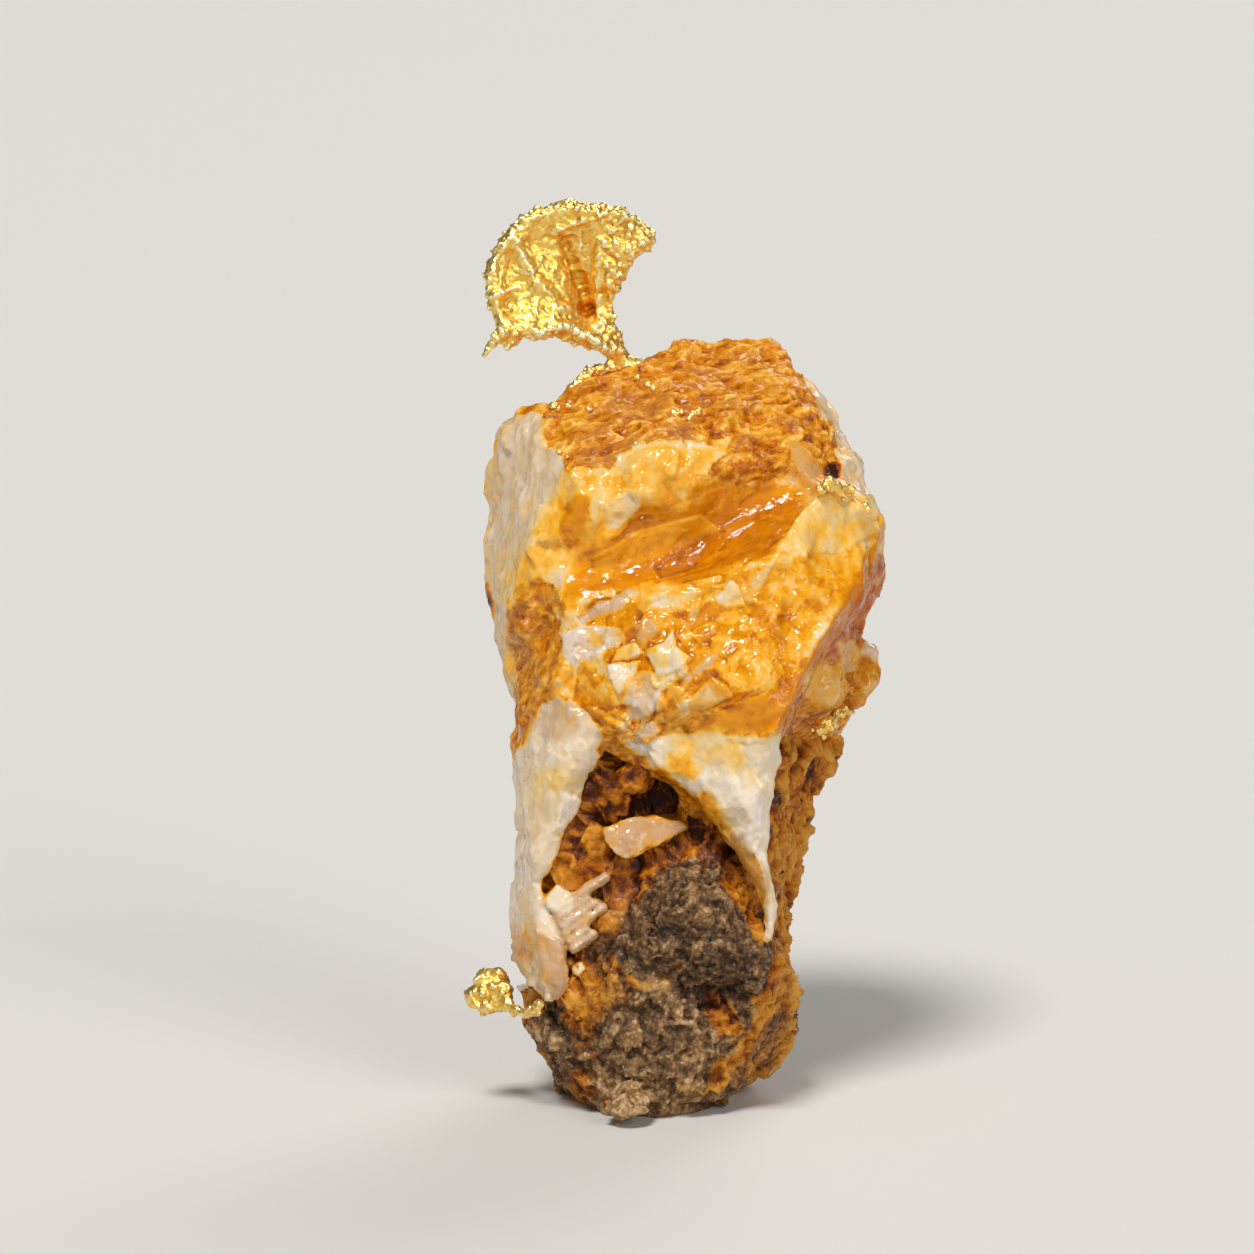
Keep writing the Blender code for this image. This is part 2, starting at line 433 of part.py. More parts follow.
def quartz_chips(place):
    """Shell-shaped chips and slanting plates, as quartz breaks."""
    bent = bend(place, QUARTZ_BENDS)
    relief_here = scoops(bent, LARGE_CHIPS) + scoops(bent, SMALL_CHIPS, (9, 4, 1))
    relief_here += plates(bent, QUARTZ_PLATES, (2, 7, 3))
    behind = FRONT_SHARE + (1 - FRONT_SHARE) * share(place.y, *FRONT_TO_BACK)
    thick = FLAP_SHARE + (1 - FLAP_SHARE) * share(place.z, *FLAPS_TO_BODY)
    return behind * thick * relief_here


def rock_lumps(place):
    """Blocky lumps and pits of a rough wall rock."""
    bent = bend(place, ROCK_BENDS)
    crumbs = scoops(bent, ROCK_CRUMBS, (3, 8, 5))
    return scoops(bent, ROCK_BLOCKS) + crumbs + plates(bent, ROCK_PLATES, (6, 1, 4))


def gold_crumple(place):
    """Dents and nubs of crystalline gold."""
    size, depth = GOLD_DENTS
    return depth * noise.noise(place / size) - scoops(place, GOLD_NUBS)


def swollen(thing, extra):
    """A copy grown by extra millimetres all round, for cutting room out of a neighbour."""
    grown = bpy.data.objects.new(thing.name + " room", thing.data.copy())
    bpy.context.scene.collection.objects.link(grown)
    roughen(grown, lambda place: extra)
    skin = grown.modifiers.new("Close", "REMESH")
    skin.mode = "VOXEL"
    skin.voxel_size = ROOM_VOXEL * MM
    settle(grown)
    thin_out(grown, ROOM_TRIANGLES)
    return grown


def carve(thing, neighbour):
    """Cuts the neighbour's shape and its gap out of thing, and keeps the largest piece that is left."""
    room = swollen(neighbour, GAP)
    cut = thing.modifiers.new("Room", "BOOLEAN")
    cut.operation = "DIFFERENCE"
    cut.solver = "EXACT"
    cut.object = room
    settle(thing)
    bpy.data.objects.remove(room)
    keep_largest(thing)


def keep_largest(thing):
    """Deletes every island of the mesh but the one with the most faces."""
    shape = bmesh.new()
    shape.from_mesh(thing.data)
    waiting = set(shape.verts)
    islands = []
    while waiting:
        island = set()
        edge_of_island = [waiting.pop()]
        while edge_of_island:
            vert = edge_of_island.pop()
            island.add(vert)
            for edge in vert.link_edges:
                other = edge.other_vert(vert)
                if other in waiting:
                    waiting.remove(other)
                    edge_of_island.append(other)
        islands.append(island)
    largest = max(islands, key=len)
    crumbs = [vert for vert in shape.verts if vert not in largest]
    bmesh.ops.delete(shape, geom=crumbs, context="VERTS")
    shape.to_mesh(thing.data)
    shape.free()


def thin_out(thing, triangles):
    """Merges the small faces into about this many larger ones that follow the same chips and ridges."""
    have = sum(len(face.vertices) - 2 for face in thing.data.polygons)
    if have <= triangles:
        return
    fewer = thing.modifiers.new("Facets", "DECIMATE")
    fewer.ratio = triangles / have
    fewer.use_collapse_triangulate = True
    settle(thing)


def cut_flat(thing):
    """Cuts the foot off level with the floor."""
    shape = bmesh.new()
    shape.from_mesh(thing.data)
    everything = shape.verts[:] + shape.edges[:] + shape.faces[:]
    bmesh.ops.bisect_plane(
        shape, geom=everything, dist=SAME_LEVEL, plane_co=(0, 0, 0), plane_no=(0, 0, -1), clear_outer=True)
    open_edges = [edge for edge in shape.edges if edge.is_boundary]
    bmesh.ops.holes_fill(shape, edges=open_edges, sides=0)
    shape.to_mesh(thing.data)
    shape.free()


def finish(thing, color, roughness, metallic):
    """Gives an object its own Principled material."""
    material = bpy.data.materials.new(thing.name)
    material.use_nodes = True
    shader = material.node_tree.nodes["Principled BSDF"]
    shader.inputs["Base Color"].default_value = (*color, 1.0)
    shader.inputs["Roughness"].default_value = roughness
    shader.inputs["Metallic"].default_value = metallic
    thing.data.materials.clear()
    thing.data.materials.append(material)


def make_quartz():
    shapes = [relief(QUARTZ_RIM, QUARTZ_FRONT, QUARTZ_BACK)]
    shapes += [lump(*knob) for knob in QUARTZ_KNOBS]
    quartz = fuse("quartz", shapes, QUARTZ_VOXEL)
    roughen(quartz, quartz_chips)
    thin_out(quartz, QUARTZ_TRIANGLES)
    finish(quartz, *QUARTZ_FINISH)
    return quartz


def make_wall_rock(quartz):
    shapes = [relief(ROCK_RIM, ROCK_FRONT, ROCK_BACK), lump(*FOOT_FLAKE)]
    rock = fuse("wall_rock", shapes, ROCK_VOXEL)
    roughen(rock, rock_lumps)
    thin_out(rock, ROCK_TRIANGLES)
    carve(rock, quartz)
    cut_flat(rock)
    finish(rock, *ROCK_FINISH)
    return rock


def make_gold_leaf(quartz):
    back = {
        name: [(right, up, near - LEAF_THICKNESS) for right, up, near in line]
        for name, line in LEAF_FRONT.items()}
    shapes = [relief(LEAF_RIM, LEAF_FRONT, back)]
    shapes += [grain(*each) for each in SEAM_GRAINS]
    leaf = fuse("gold_leaf", shapes, GOLD_VOXEL)
    roughen(leaf, gold_crumple)
    carve(leaf, quartz)
    thin_out(leaf, LEAF_TRIANGLES)
    finish(leaf, *GOLD_FINISH)
    return leaf


def make_gold_grains(name, grains, triangles, neighbours):
    gold = fuse(name, [grain(*each) for each in grains], GOLD_VOXEL)
    roughen(gold, gold_crumple)
    for neighbour in neighbours:
        carve(gold, neighbour)
    thin_out(gold, triangles)
    finish(gold, *GOLD_FINISH)
    return gold


def main():
    for thing in list(bpy.data.objects):
        bpy.data.objects.remove(thing)
    noise.seed_set(BEND_SEED)
    quartz = make_quartz()
    rock = make_wall_rock(quartz)
    make_gold_leaf(quartz)
    make_gold_grains("gold_nugget", NUGGET_GRAINS + NUGGET_ARM, NUGGET_TRIANGLES, [quartz, rock])
    make_gold_grains("gold_crust", CRUST_GRAINS, GRAIN_TRIANGLES, [quartz, rock])
    make_gold_grains("gold_crest", CREST_GRAINS, GRAIN_TRIANGLES, [quartz])


main()
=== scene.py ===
# %% [markdown]
# # Gold in quartz
# The specimen is a lump of vein quartz about 59 mm tall that grew on a piece of wall rock, with native
# gold in it. The solids come measured and packed. This script gives each of them the surface that the
# stone has: finely broken faces, iron stains and grains. The solids stay as they are, and a denser copy
# stands in for each.

# %% Load the solids
import math

import bmesh
import bpy
import numpy as np
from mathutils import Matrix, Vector, noise
from mathutils.bvhtree import BVHTree


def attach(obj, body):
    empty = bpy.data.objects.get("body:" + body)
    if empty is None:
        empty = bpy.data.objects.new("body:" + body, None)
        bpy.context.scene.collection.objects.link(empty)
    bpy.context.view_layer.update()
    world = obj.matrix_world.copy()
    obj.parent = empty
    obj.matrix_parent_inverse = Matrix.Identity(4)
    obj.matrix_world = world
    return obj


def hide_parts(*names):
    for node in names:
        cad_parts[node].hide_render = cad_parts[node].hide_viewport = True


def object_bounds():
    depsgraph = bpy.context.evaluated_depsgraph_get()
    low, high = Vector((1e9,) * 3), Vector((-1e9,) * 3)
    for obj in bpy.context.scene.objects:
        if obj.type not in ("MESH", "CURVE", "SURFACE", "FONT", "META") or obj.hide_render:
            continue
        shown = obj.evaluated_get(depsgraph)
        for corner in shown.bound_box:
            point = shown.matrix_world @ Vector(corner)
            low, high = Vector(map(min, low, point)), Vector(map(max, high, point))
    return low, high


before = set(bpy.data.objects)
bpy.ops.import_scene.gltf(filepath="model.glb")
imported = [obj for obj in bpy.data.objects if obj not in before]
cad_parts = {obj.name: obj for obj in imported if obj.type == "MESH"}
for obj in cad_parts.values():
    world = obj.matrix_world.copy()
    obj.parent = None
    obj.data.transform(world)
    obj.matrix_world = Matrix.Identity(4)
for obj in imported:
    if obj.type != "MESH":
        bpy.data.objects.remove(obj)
solids_low, solids_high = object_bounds()
MM = 0.001

# Waves of noise start from the clock unless they are given a start, and the stone must stay the same.
noise.seed_set(1)
solids_size = (solids_high - solids_low) / MM
print("solids:", sorted(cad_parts), "size in mm:", [round(side, 1) for side in solids_size])

# %% [markdown]
# ## The viewpoint
# The stains are laid out as they are seen from the front, so the viewpoint comes first. The eye is
# 335 mm away and looks 8 degrees down. A place on the specimen is then two sizes in millimetres: how far
# right of the middle of the foot, and how far up the view. This keeps every outline readable, and it is
# how a collector would describe the piece. The camera could be aimed by a constraint, but a rotation
# from the same three directions is plainer.

# %% Directions as the specimen is seen
EYE_DISTANCE = 335.0
EYE_TILT = math.radians(8)
AIM_RIGHT = -3.0
AIM_UP = 31.5
VIEW_WIDTH = 83.6
SENSOR_WIDTH = 36.0

ACROSS = Vector((1, 0, 0))
UPWARD = Vector((0, math.sin(EYE_TILT), math.cos(EYE_TILT)))
TOWARDS_EYE = ACROSS.cross(UPWARD)
EYE = ACROSS * AIM_RIGHT + UPWARD * AIM_UP + TOWARDS_EYE * EYE_DISTANCE


def spot(right, up, near):
    """The place that is seen this far right and up, this near to the eye, all in millimetres."""
    return (ACROSS * right + UPWARD * up).lerp(EYE, near / EYE_DISTANCE)


def as_seen(places):
    """How far right and up the view each place is, and how near to the eye, all in millimetres."""
    right = places @ np.array(ACROSS)
    up = places @ np.array(UPWARD)
    near = places @ np.array(TOWARDS_EYE)
    spread = EYE_DISTANCE / (EYE_DISTANCE - near)
    return AIM_RIGHT + (right - AIM_RIGHT) * spread, AIM_UP + (up - AIM_UP) * spread, near


print("the eye in mm:", [round(part) for part in EYE])

# %% The camera
camera_data = bpy.data.cameras.new("front view")
camera_data.sensor_width = SENSOR_WIDTH
camera_data.lens = SENSOR_WIDTH * EYE_DISTANCE / VIEW_WIDTH
camera_data.clip_start = 0.01
camera = bpy.data.objects.new("front view", camera_data)
camera.location = EYE * MM
camera.rotation_euler = TOWARDS_EYE.to_track_quat("Z", "Y").to_euler()
bpy.context.scene.collection.objects.link(camera)
bpy.context.scene.camera = camera
print("lens in mm:", round(camera_data.lens, 1))

# %% [markdown]
# ## Helpers for materials
# Colours are written as sRGB hex, as a paint chart gives them, and one function turns them to the linear
# values that a shader mixes. One more function adds a node with its settings and links, so that each
# material reads as a list of what it is made of.

# %% Colours and nodes


def linear(hex_colour):
    """An sRGB hex colour as linear red, green, blue and alpha."""
    parts = [int(hex_colour[start:start + 2], 16) / 255 for start in (1, 3, 5)]
    flat = [part / 12.92 if part <= 0.04045 else ((part + 0.055) / 1.055) ** 2.4 for part in parts]
    return (*flat, 1.0)


def add_node(tree, kind, settings=None, links=None):
    """Adds a node. A setting is an input's name or number, a property, or a ramp's stops."""
    node = tree.nodes.new(kind)
    for name, value in (settings or {}).items():
        if name == "stops":
            elements = node.color_ramp.elements
            while len(elements) < len(value):
                elements.new(0.5)
            for element, (position, colour) in zip(elements, value):
                element.position = position
                element.color = linear(colour)
        elif isinstance(name, int) or name in node.inputs:
            node.inputs[name].default_value = value
        else:
            setattr(node, name, value)
    for name, source in (links or {}).items():
        tree.links.new(source, node.inputs[name])
    return node


def pattern_scale(size):
    """The scale of a texture whose features are this many millimetres wide."""
    return 1 / (size * MM)


def new_material(name, *values):
    """An empty material: itself, its nodes, the place on the object, and numbers kept at the vertices."""
    material = bpy.data.materials.new(name)
    material.use_nodes = True
    tree = material.node_tree
    tree.nodes.clear()
    where = add_node(tree, "ShaderNodeTexCoord").outputs["Object"]
    kept = [
        add_node(tree, "ShaderNodeAttribute", {"attribute_name": value}).outputs["Fac"] for value in values]
    return material, tree, where, *kept


print("half grey is linear", round(linear("#808080")[0], 3))

# %% [markdown]
# ## Helpers for surfaces
# Quartz has no cleavage: it breaks into many small flat or shell-shaped faces that meet in sharp edges.
# Each face is a cell of space. Inside it, every place is moved onto one plane that leans its own way, and
# finer plates and grains lie on top. A displacement texture could do the same, but a few functions of the
# place keep shape and stain in step, and the faces are real geometry from every side.

# %% Forms of broken stone
# Each random draw reads the noise at a stretch of its own, so that no two draws repeat each other.
SLANT_DRAW = 7.3
FACE_DRAW = 3.7
TONE_DRAW = 5.3
BEAD_DRAW = 9.1


def share(value, low, high):
    """How far value has come from low to high, from 0 to 1."""
    return np.clip((value - low) / (high - low), 0.0, 1.0)


def wave(place, wide, high):
    """Soft unrest of the surface, about this wide and high in millimetres."""
    return high * noise.noise(place / wide)


def bend(place, wide, most):
    """The place moved by a slow drift, at most by this many millimetres."""
    return place + noise.noise_vector(place / wide) * most


def plate(place, wide, high):
    """The height of a plate that lies a little aslant."""
    corner = noise.voronoi(place / wide)[1][0]
    slant = noise.cell_vector(corner * SLANT_DRAW) * 2 - Vector((1, 1, 1))
    return high * slant.dot(place / wide - corner)


def plate_tone(place, wide):
    """A number from -0.5 to 0.5 that is the same all over one plate."""
    return noise.cell(noise.voronoi(place / wide)[1][0] * TONE_DRAW) - 0.5


def crystal_grain(place, wide, high):
    """A rounded grain: highest in its middle, with a narrow groove round it."""
    return high * (0.5 - noise.voronoi(place / wide)[0][0])


samples = [plate(Vector((step, 0, 0)) / 5, wide=2.0, high=0.3) for step in range(100)]
print("plates 0.3 mm high reach from", round(min(samples), 2), "to", round(max(samples), 2), "mm")

# %% [markdown]
# For the larger flat faces the plane of each cell is worked out from the surface itself: it goes through
# the middle of the cell's own vertices and faces the way that they face on the whole, a little aslant.
# Where the surface turns sharply inside a cell, it is left as it is.

# %% Flat faces
MOST_FLATTENED = 0.45
LEAST_AGREEMENT = 0.6
FULL_AGREEMENT = 0.9


def flat_faces(places, normals, size, lean):
    """The move that brings each place onto the flat face of its cell, and a tone for that face."""
    corners = [noise.voronoi(place)[1][0] for place in map(Vector, places / np.array(size))]
    cells = np.unique(np.round(corners, 3), axis=0, return_inverse=True)[1].ravel()
    middles, facing = [
        np.stack([np.bincount(cells, column) for column in rows.T], axis=1) / np.bincount(cells)[:, None]
        for rows in (places, normals)]
    agreement = np.linalg.norm(facing, axis=1)[:, None]
    slants = np.array([noise.cell_vector(middle * FACE_DRAW) for middle in map(Vector, middles)]) * 2 - 1
    facing = facing / agreement + lean * slants
    facing /= np.linalg.norm(facing, axis=1)[:, None]
    gap = ((middles[cells] - places) * facing[cells]).sum(axis=1)
    trust = share(agreement, LEAST_AGREEMENT, FULL_AGREEMENT)
    gap = np.clip(gap, -MOST_FLATTENED, MOST_FLATTENED)[:, None] * trust[cells]
    return gap * facing[cells], slants[cells, 0] / 2

# %% [markdown]
# ## Places, normals and neighbours
# A mesh can be moved vertex by vertex, but rows of numbers for all of them at once are quicker and
# shorter to write. Blurring a row over the edges spreads what one vertex knows to its neighbours.

# %% Read and move a mesh as rows of numbers


def places_of(thing):
    """Every vertex's place in millimetres, one row each."""
    flat = np.empty(len(thing.data.vertices) * 3, dtype=np.float32)
    thing.data.vertices.foreach_get("co", flat)
    return flat.reshape(-1, 3).astype(float) / MM


def put_places(thing, places):
    """Moves every vertex to its place in millimetres."""
    thing.data.vertices.foreach_set("co", (places * MM).astype(np.float32).ravel())
    thing.data.update()


def normals_of(thing):
    """Every vertex's normal, one row each."""
    return np.array([vert.normal[:] for vert in thing.data.vertices])


def edges_of(thing):
    """The two vertices of every edge, one row each."""
    flat = np.empty(len(thing.data.edges) * 2, dtype=np.int32)
    thing.data.edges.foreach_get("vertices", flat)
    return flat.reshape(-1, 2)


def blur(values, edges, rounds):
    """Each round gives every vertex the mean of its own value and its neighbours'."""
    rows = values.reshape(len(values), -1)
    ends = np.concatenate([edges[:, 0], edges[:, 1]])
    others = np.concatenate([edges[:, 1], edges[:, 0]])
    count = 1 + np.bincount(ends, minlength=len(rows))
    for _ in range(rounds):
        columns = [column + np.bincount(ends, column[others], len(rows)) for column in rows.T]
        rows = np.stack(columns, axis=1) / count[:, None]
    return rows.reshape(values.shape)


def triangle_count(thing):
    """How many triangles an object's faces make."""
    return sum(len(face.vertices) - 2 for face in thing.data.polygons)


def tree_of(thing):
    """A search tree over an object's faces, in millimetres."""
    corners = [Vector(place) for place in places_of(thing)]
    return BVHTree.FromPolygons(corners, [face.vertices[:] for face in thing.data.polygons])


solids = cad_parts
print("triangles:", {name: triangle_count(solid) for name, solid in solids.items()})

# %% [markdown]
# ## Dense copies
# A solid has a few thousand flat faces. A voxel remesh gives a copy of it small even faces, which can
# then be moved along their normals. Subdivision would keep the long thin triangles, and moved vertices
# would fold there. The remesh also makes one skin of shapes that overlap, so a crystal is simply pushed
# into its stone before it.

# %% Remesh and thin out


def bake_modifiers(thing):
    """Turns an object's modifiers into plain mesh."""
    baked = bpy.data.meshes.new_from_object(thing.evaluated_get(bpy.context.evaluated_depsgraph_get()))
    thing.modifiers.clear()
    thing.data = baked


def remesh(thing, voxel):
    """Makes one skin of even faces this many millimetres wide round all of an object's shapes."""
    skin = thing.modifiers.new("Even faces", "REMESH")
    skin.mode = "VOXEL"
    skin.voxel_size = voxel * MM
    bake_modifiers(thing)


def thin_out(thing, triangles):
    """Merges faces on flat stretches until about this many triangles are left."""
    have = triangle_count(thing)
    if have > triangles:
        fewer = thing.modifiers.new("Fewer faces", "DECIMATE")
        fewer.ratio = triangles / have
        fewer.use_collapse_triangulate = True
        bake_modifiers(thing)


def add_shapes(thing, shapes):
    """Adds closed shapes to an object's mesh."""
    joined = bmesh.new()
    joined.from_mesh(thing.data)
    holder = bpy.data.meshes.new("holder")
    for shape in shapes:
        shape.to_mesh(holder)
        joined.from_mesh(holder)
        shape.free()
    joined.to_mesh(thing.data)
    joined.free()
    bpy.data.meshes.remove(holder)


def new_object(name, data):
    """An object in the scene that shows a mesh or a light."""
    thing = bpy.data.objects.new(name, data)
    bpy.context.scene.collection.objects.link(thing)
    return thing


def dense_copy(node_name, voxel, extras=()):
    """A copy of a solid with even faces of this many millimetres, and extra closed shapes grown into it."""
    copy = new_object(node_name + "_surface", solids[node_name].data.copy())
    add_shapes(copy, extras)
    remesh(copy, voxel)
    return copy


# %% [markdown]
# Three kinds of small shape are pushed into the solids before that: blocks round a few corners, chips that
# follow an outline in the front view, and round pebbles. A chip needs to know how deep the stone lies
# there, so a ray from the eye asks the surface.

# %% Shapes that grow out of a stone
RAY_DEPTH = 4.0


def block(corners):
    """A closed flat-faced shape round some spots, each right, up and near in millimetres."""
    shape = bmesh.new()
    for corner in corners:
        shape.verts.new(spot(*corner) * MM)
    bmesh.ops.convex_hull(shape, input=shape.verts)
    return shape


def on_surface(right, up, trees):
    """The place in millimetres that the eye sees this far right and up, or else the nearest one."""
    aim = spot(right, up, RAY_DEPTH)
    hits = [tree.ray_cast(EYE, (aim - EYE).normalized())[0] for tree in trees]
    if not any(hits):
        return min((tree.find_nearest(aim)[0] for tree in trees), key=lambda place: (place - aim).length)
    return min((hit for hit in hits if hit), key=lambda place: (place - EYE).length)


def slab(outline, lift, depth, trees):
    """A flat chip over an outline, raised from the surface by lift and sunk in it by depth."""
    shape = bmesh.new()
    for right, up in outline:
        place = on_surface(right, up, trees)
        shape.verts.new((place + TOWARDS_EYE * lift) * MM)
        shape.verts.new((place - TOWARDS_EYE * depth) * MM)
    bmesh.ops.convex_hull(shape, input=shape.verts)
    return shape


def pebble(place, radius):
    """A round lump about a place, both in millimetres."""
    shape = bmesh.new()
    bmesh.ops.create_icosphere(shape, subdivisions=2, radius=radius * MM)
    bmesh.ops.translate(shape, vec=place * MM, verts=shape.verts)
    return shape


# %% [markdown]
# ## Stains as outlines
# Iron water ran over this piece and left sharp-edged patches. Each patch is an outline in the front
# view, given by the few points that its shape needs, and a stain fades or ends at it. The edge is then
# worried by noise, because a mineral stain never ends on a straight line. Painting an image would tie
# the stone to one picture. Outlines of real size can be read and changed.

# %% How deep a place lies inside an outline


def depth_inside(right, up, outline):
    """The distance to the outline in millimetres, above 0 inside it and below 0 outside."""
    corners = np.array(outline, dtype=float)
    nearest = np.full(len(right), 1e9)
    inside = np.zeros(len(right), dtype=bool)
    for (x1, y1), (x2, y2) in zip(corners, np.roll(corners, -1, axis=0)):
        along = np.array([x2 - x1, y2 - y1])
        part = ((right - x1) * along[0] + (up - y1) * along[1]) / max(along @ along, 1e-9)
        part = np.clip(part, 0, 1)
        gap = np.hypot(right - x1 - part * along[0], up - y1 - part * along[1])
        nearest = np.minimum(nearest, gap)
        if y1 != y2:
            crossing = x1 + (up - y1) * (x2 - x1) / (y2 - y1)
            inside ^= ((y1 > up) != (y2 > up)) & (right < crossing)
    return np.where(inside, nearest, -nearest)


def ragged(places, size, shift=0):
    """A number from about -1 to 1 at each place, with features of this size and finer."""
    points = [Vector(place) / size for place in places + shift]
    return np.array([noise.noise(point) + 0.5 * noise.noise(point * 2.7) for point in points])


# %% [markdown]
# ## Where the eye reaches
# An outline in the front view belongs to the faces that the eye sees, and not to the back behind them.
# A ray from each vertex to the eye tells the two apart. The answer is blurred over the surface, so that
# a stain fades out round a corner.

# %% Faces that the eye sees
LEAST_FACING = 0.03
OFF_THE_SKIN = 0.25
NEARER_THE_EYE = 0.1


def seen_from_front(thing, blockers, rounds):
    """1 on what the eye sees, 0 on what is turned away or hidden, fading over a few faces."""
    places = places_of(thing)
    normals = normals_of(thing)
    to_eye = np.array(EYE) - places
    to_eye /= np.linalg.norm(to_eye, axis=1)[:, None]
    facing = (normals * to_eye).sum(axis=1) > LEAST_FACING
    seen = np.zeros(len(places))
    for index in np.flatnonzero(facing):
        start = Vector(places[index] + normals[index] * OFF_THE_SKIN + to_eye[index] * NEARER_THE_EYE)
        direction = Vector(to_eye[index])
        seen[index] = not any(tree.ray_cast(start, direction)[0] for tree in blockers)
    return blur(seen, edges_of(thing), rounds)


# %% [markdown]
# ## The quartz
# Milky vein quartz broke here into a ribbed left face, a rusty sloping top, a smooth honey trough, a
# raised facet with a sharp right ridge, and two thin flaps that hang down. The outlines below name its
# places clockwise from the upper left.

# %% Places on the left face and the rusty top
LEFT_FACE = [
    (-11.5, 46.8), (-8.8, 46.4), (-8.4, 43.6), (-7.7, 43.3), (-7.1, 41.9), (-7.8, 40.5), (-8.3, 39.5),
    (-9.1, 38.2), (-10, 36.9), (-10.7, 35.6), (-11, 34), (-11.1, 32), (-11.5, 29.7), (-13.5, 29.7),
    (-14, 40), (-12.8, 46.7)]
RUSTY_CAP = [(-11.5, 46.9), (-8.8, 46.9), (-8.5, 45.7), (-9.5, 45.9), (-10.9, 45.6), (-11.5, 46.1)]
RUSTY_TOP = [
    (-8.8, 46.7), (-8.4, 43.6), (-7.7, 43.3), (-7, 42), (-6.2, 42.2), (-4.1, 42), (-3.5, 43), (-2.3, 43.7),
    (-1.3, 43.9), (-0.1, 44.1), (1.7, 43.6), (2.9, 43.9), (4.1, 44.2), (3.7, 43.2), (2.7, 42.4),
    (2.3, 41.7), (3.3, 41.3), (4.9, 40.9), (6.2, 41.3), (7.9, 42), (8.5, 43.2), (9.3, 42.7), (10.3, 42),
    (11.1, 42), (10.7, 43.1), (10.9, 43.9), (10.7, 45), (9.8, 45.3), (9.6, 46.4), (9.1, 47.4),
    (7.7, 47.6), (7.9, 48.3), (7.7, 49.5), (7.9, 51.3), (1.9, 52), (-2.1, 51.3), (-7.5, 48)]

# %% Places on the cream band, the trough and the shoulder
CREAM_BAND = [
    (-7, 42), (-4.1, 42), (-3.5, 43), (-2.3, 43.7), (1.7, 43.6), (4.1, 44.2), (3.2, 42.8), (1.2, 40.6),
    (0.5, 39.5), (-2.1, 39.7), (-4.1, 37.9), (-5.1, 36.8), (-6.5, 36), (-10.1, 33.3), (-11.1, 33.1),
    (-10.7, 35.6), (-8.3, 39.5)]
AMBER_PATCH = [
    (-6.3, 40.5), (-5.5, 40.1), (-5.4, 39.2), (-5.8, 38), (-6.3, 37), (-7, 36.5), (-7.3, 37.3),
    (-7.5, 38.7), (-7.1, 39.8)]
HONEY_TROUGH = [
    (-5.5, 36.8), (-4.9, 37), (-4.1, 37.9), (-3.2, 39), (-2.1, 39.7), (-0.9, 39.8), (0.5, 39.5),
    (1.2, 40.6), (2.3, 41.7), (3.3, 41.3), (4.9, 40.9), (7.2, 41.5), (8, 40.9), (8.9, 40.3), (9.3, 39.7),
    (8.4, 38.8), (7.3, 37.4), (6.8, 36.2), (4.5, 35.5), (1.2, 34.1), (-2.1, 34), (-4.8, 33.5),
    (-7.1, 32.9), (-7.3, 34), (-6.8, 36)]
TROUGH_STREAKS = [
    (-1.3, 36), (1.2, 37), (3.2, 38.7), (5.9, 39.7), (8.5, 40), (8.5, 38.7), (7.3, 37.3), (6.8, 36.3),
    (4.2, 35.5), (1.2, 34.5), (-0.3, 34.8)]
WHITE_SHOULDER = [
    (7.7, 47.6), (9.3, 47.9), (10.9, 45.7), (11.9, 44), (13.9, 42), (14.1, 40.3), (11.9, 40.7), (11.1, 42),
    (10.7, 43.1), (10.9, 43.9), (10.7, 45), (9.8, 45.3), (9.6, 46.4), (9.1, 47.4)]
PINK_KNOB = [
    (7.9, 43.9), (8.8, 44), (9.3, 43.3), (10, 42), (10.3, 41.1), (9.7, 40.3), (8.9, 40.5), (8.1, 41.2),
    (7.9, 42.5)]
CAVITY = [(10.3, 42.5), (11.2, 42.3), (11.3, 41.3), (10.7, 41.1), (10.1, 41.6)]

# %% Places on the raised facet and the front
RAISED_FACET = [
    (9.8, 40.5), (10.4, 41), (12.1, 40.6), (13.3, 40.1), (13.9, 39.7), (14.3, 39), (14.2, 38.3),
    (13.6, 37), (12.8, 37.3), (11.4, 36.2), (9.3, 36.3), (8.6, 36.7), (7.7, 36.6), (6.8, 36.1),
    (7.3, 37.4), (8.4, 38.8), (9.3, 39.7)]
HONEY_ON_FACET = [
    (8.9, 39.3), (9.8, 40.5), (11.3, 40.8), (12.3, 40), (11.6, 38.7), (10.1, 37.7), (8.9, 37.3), (8.5, 38.1)]
MOTTLED_SLOPE = [
    (6.8, 36.1), (9.3, 36.3), (11.4, 36.2), (12.8, 37), (12.4, 35.2), (11.3, 33.3), (10.3, 31.9), (8.9, 30),
    (8, 28.5), (6.5, 27.3), (4.2, 27.3), (2.9, 29.3), (3.2, 32), (4.5, 34)]
FLAKY_FRONT = [
    (-7.1, 32.9), (-2.1, 33.9), (1.2, 34), (4.5, 35.3), (6.8, 36.1), (4.5, 34), (3.2, 32), (2.9, 29.3),
    (4.2, 27.3), (1.2, 25.9), (-0.6, 24.5), (-2.1, 24.3), (-4.8, 24.3), (-5.8, 26), (-7.5, 26.8),
    (-8.3, 27.3), (-7.4, 29.7)]
RED_PIT = [(-5.3, 33.3), (-4.3, 33.5), (-3.3, 33.3), (-3.6, 32.8), (-4.5, 32.5), (-5.3, 32.6)]
STAR_OF_CREASES = [(-4, 24.9), (-2.1, 25.6), (-0.3, 24.9), (-0.5, 23.7), (-2.1, 23.2), (-3.6, 23.6)]
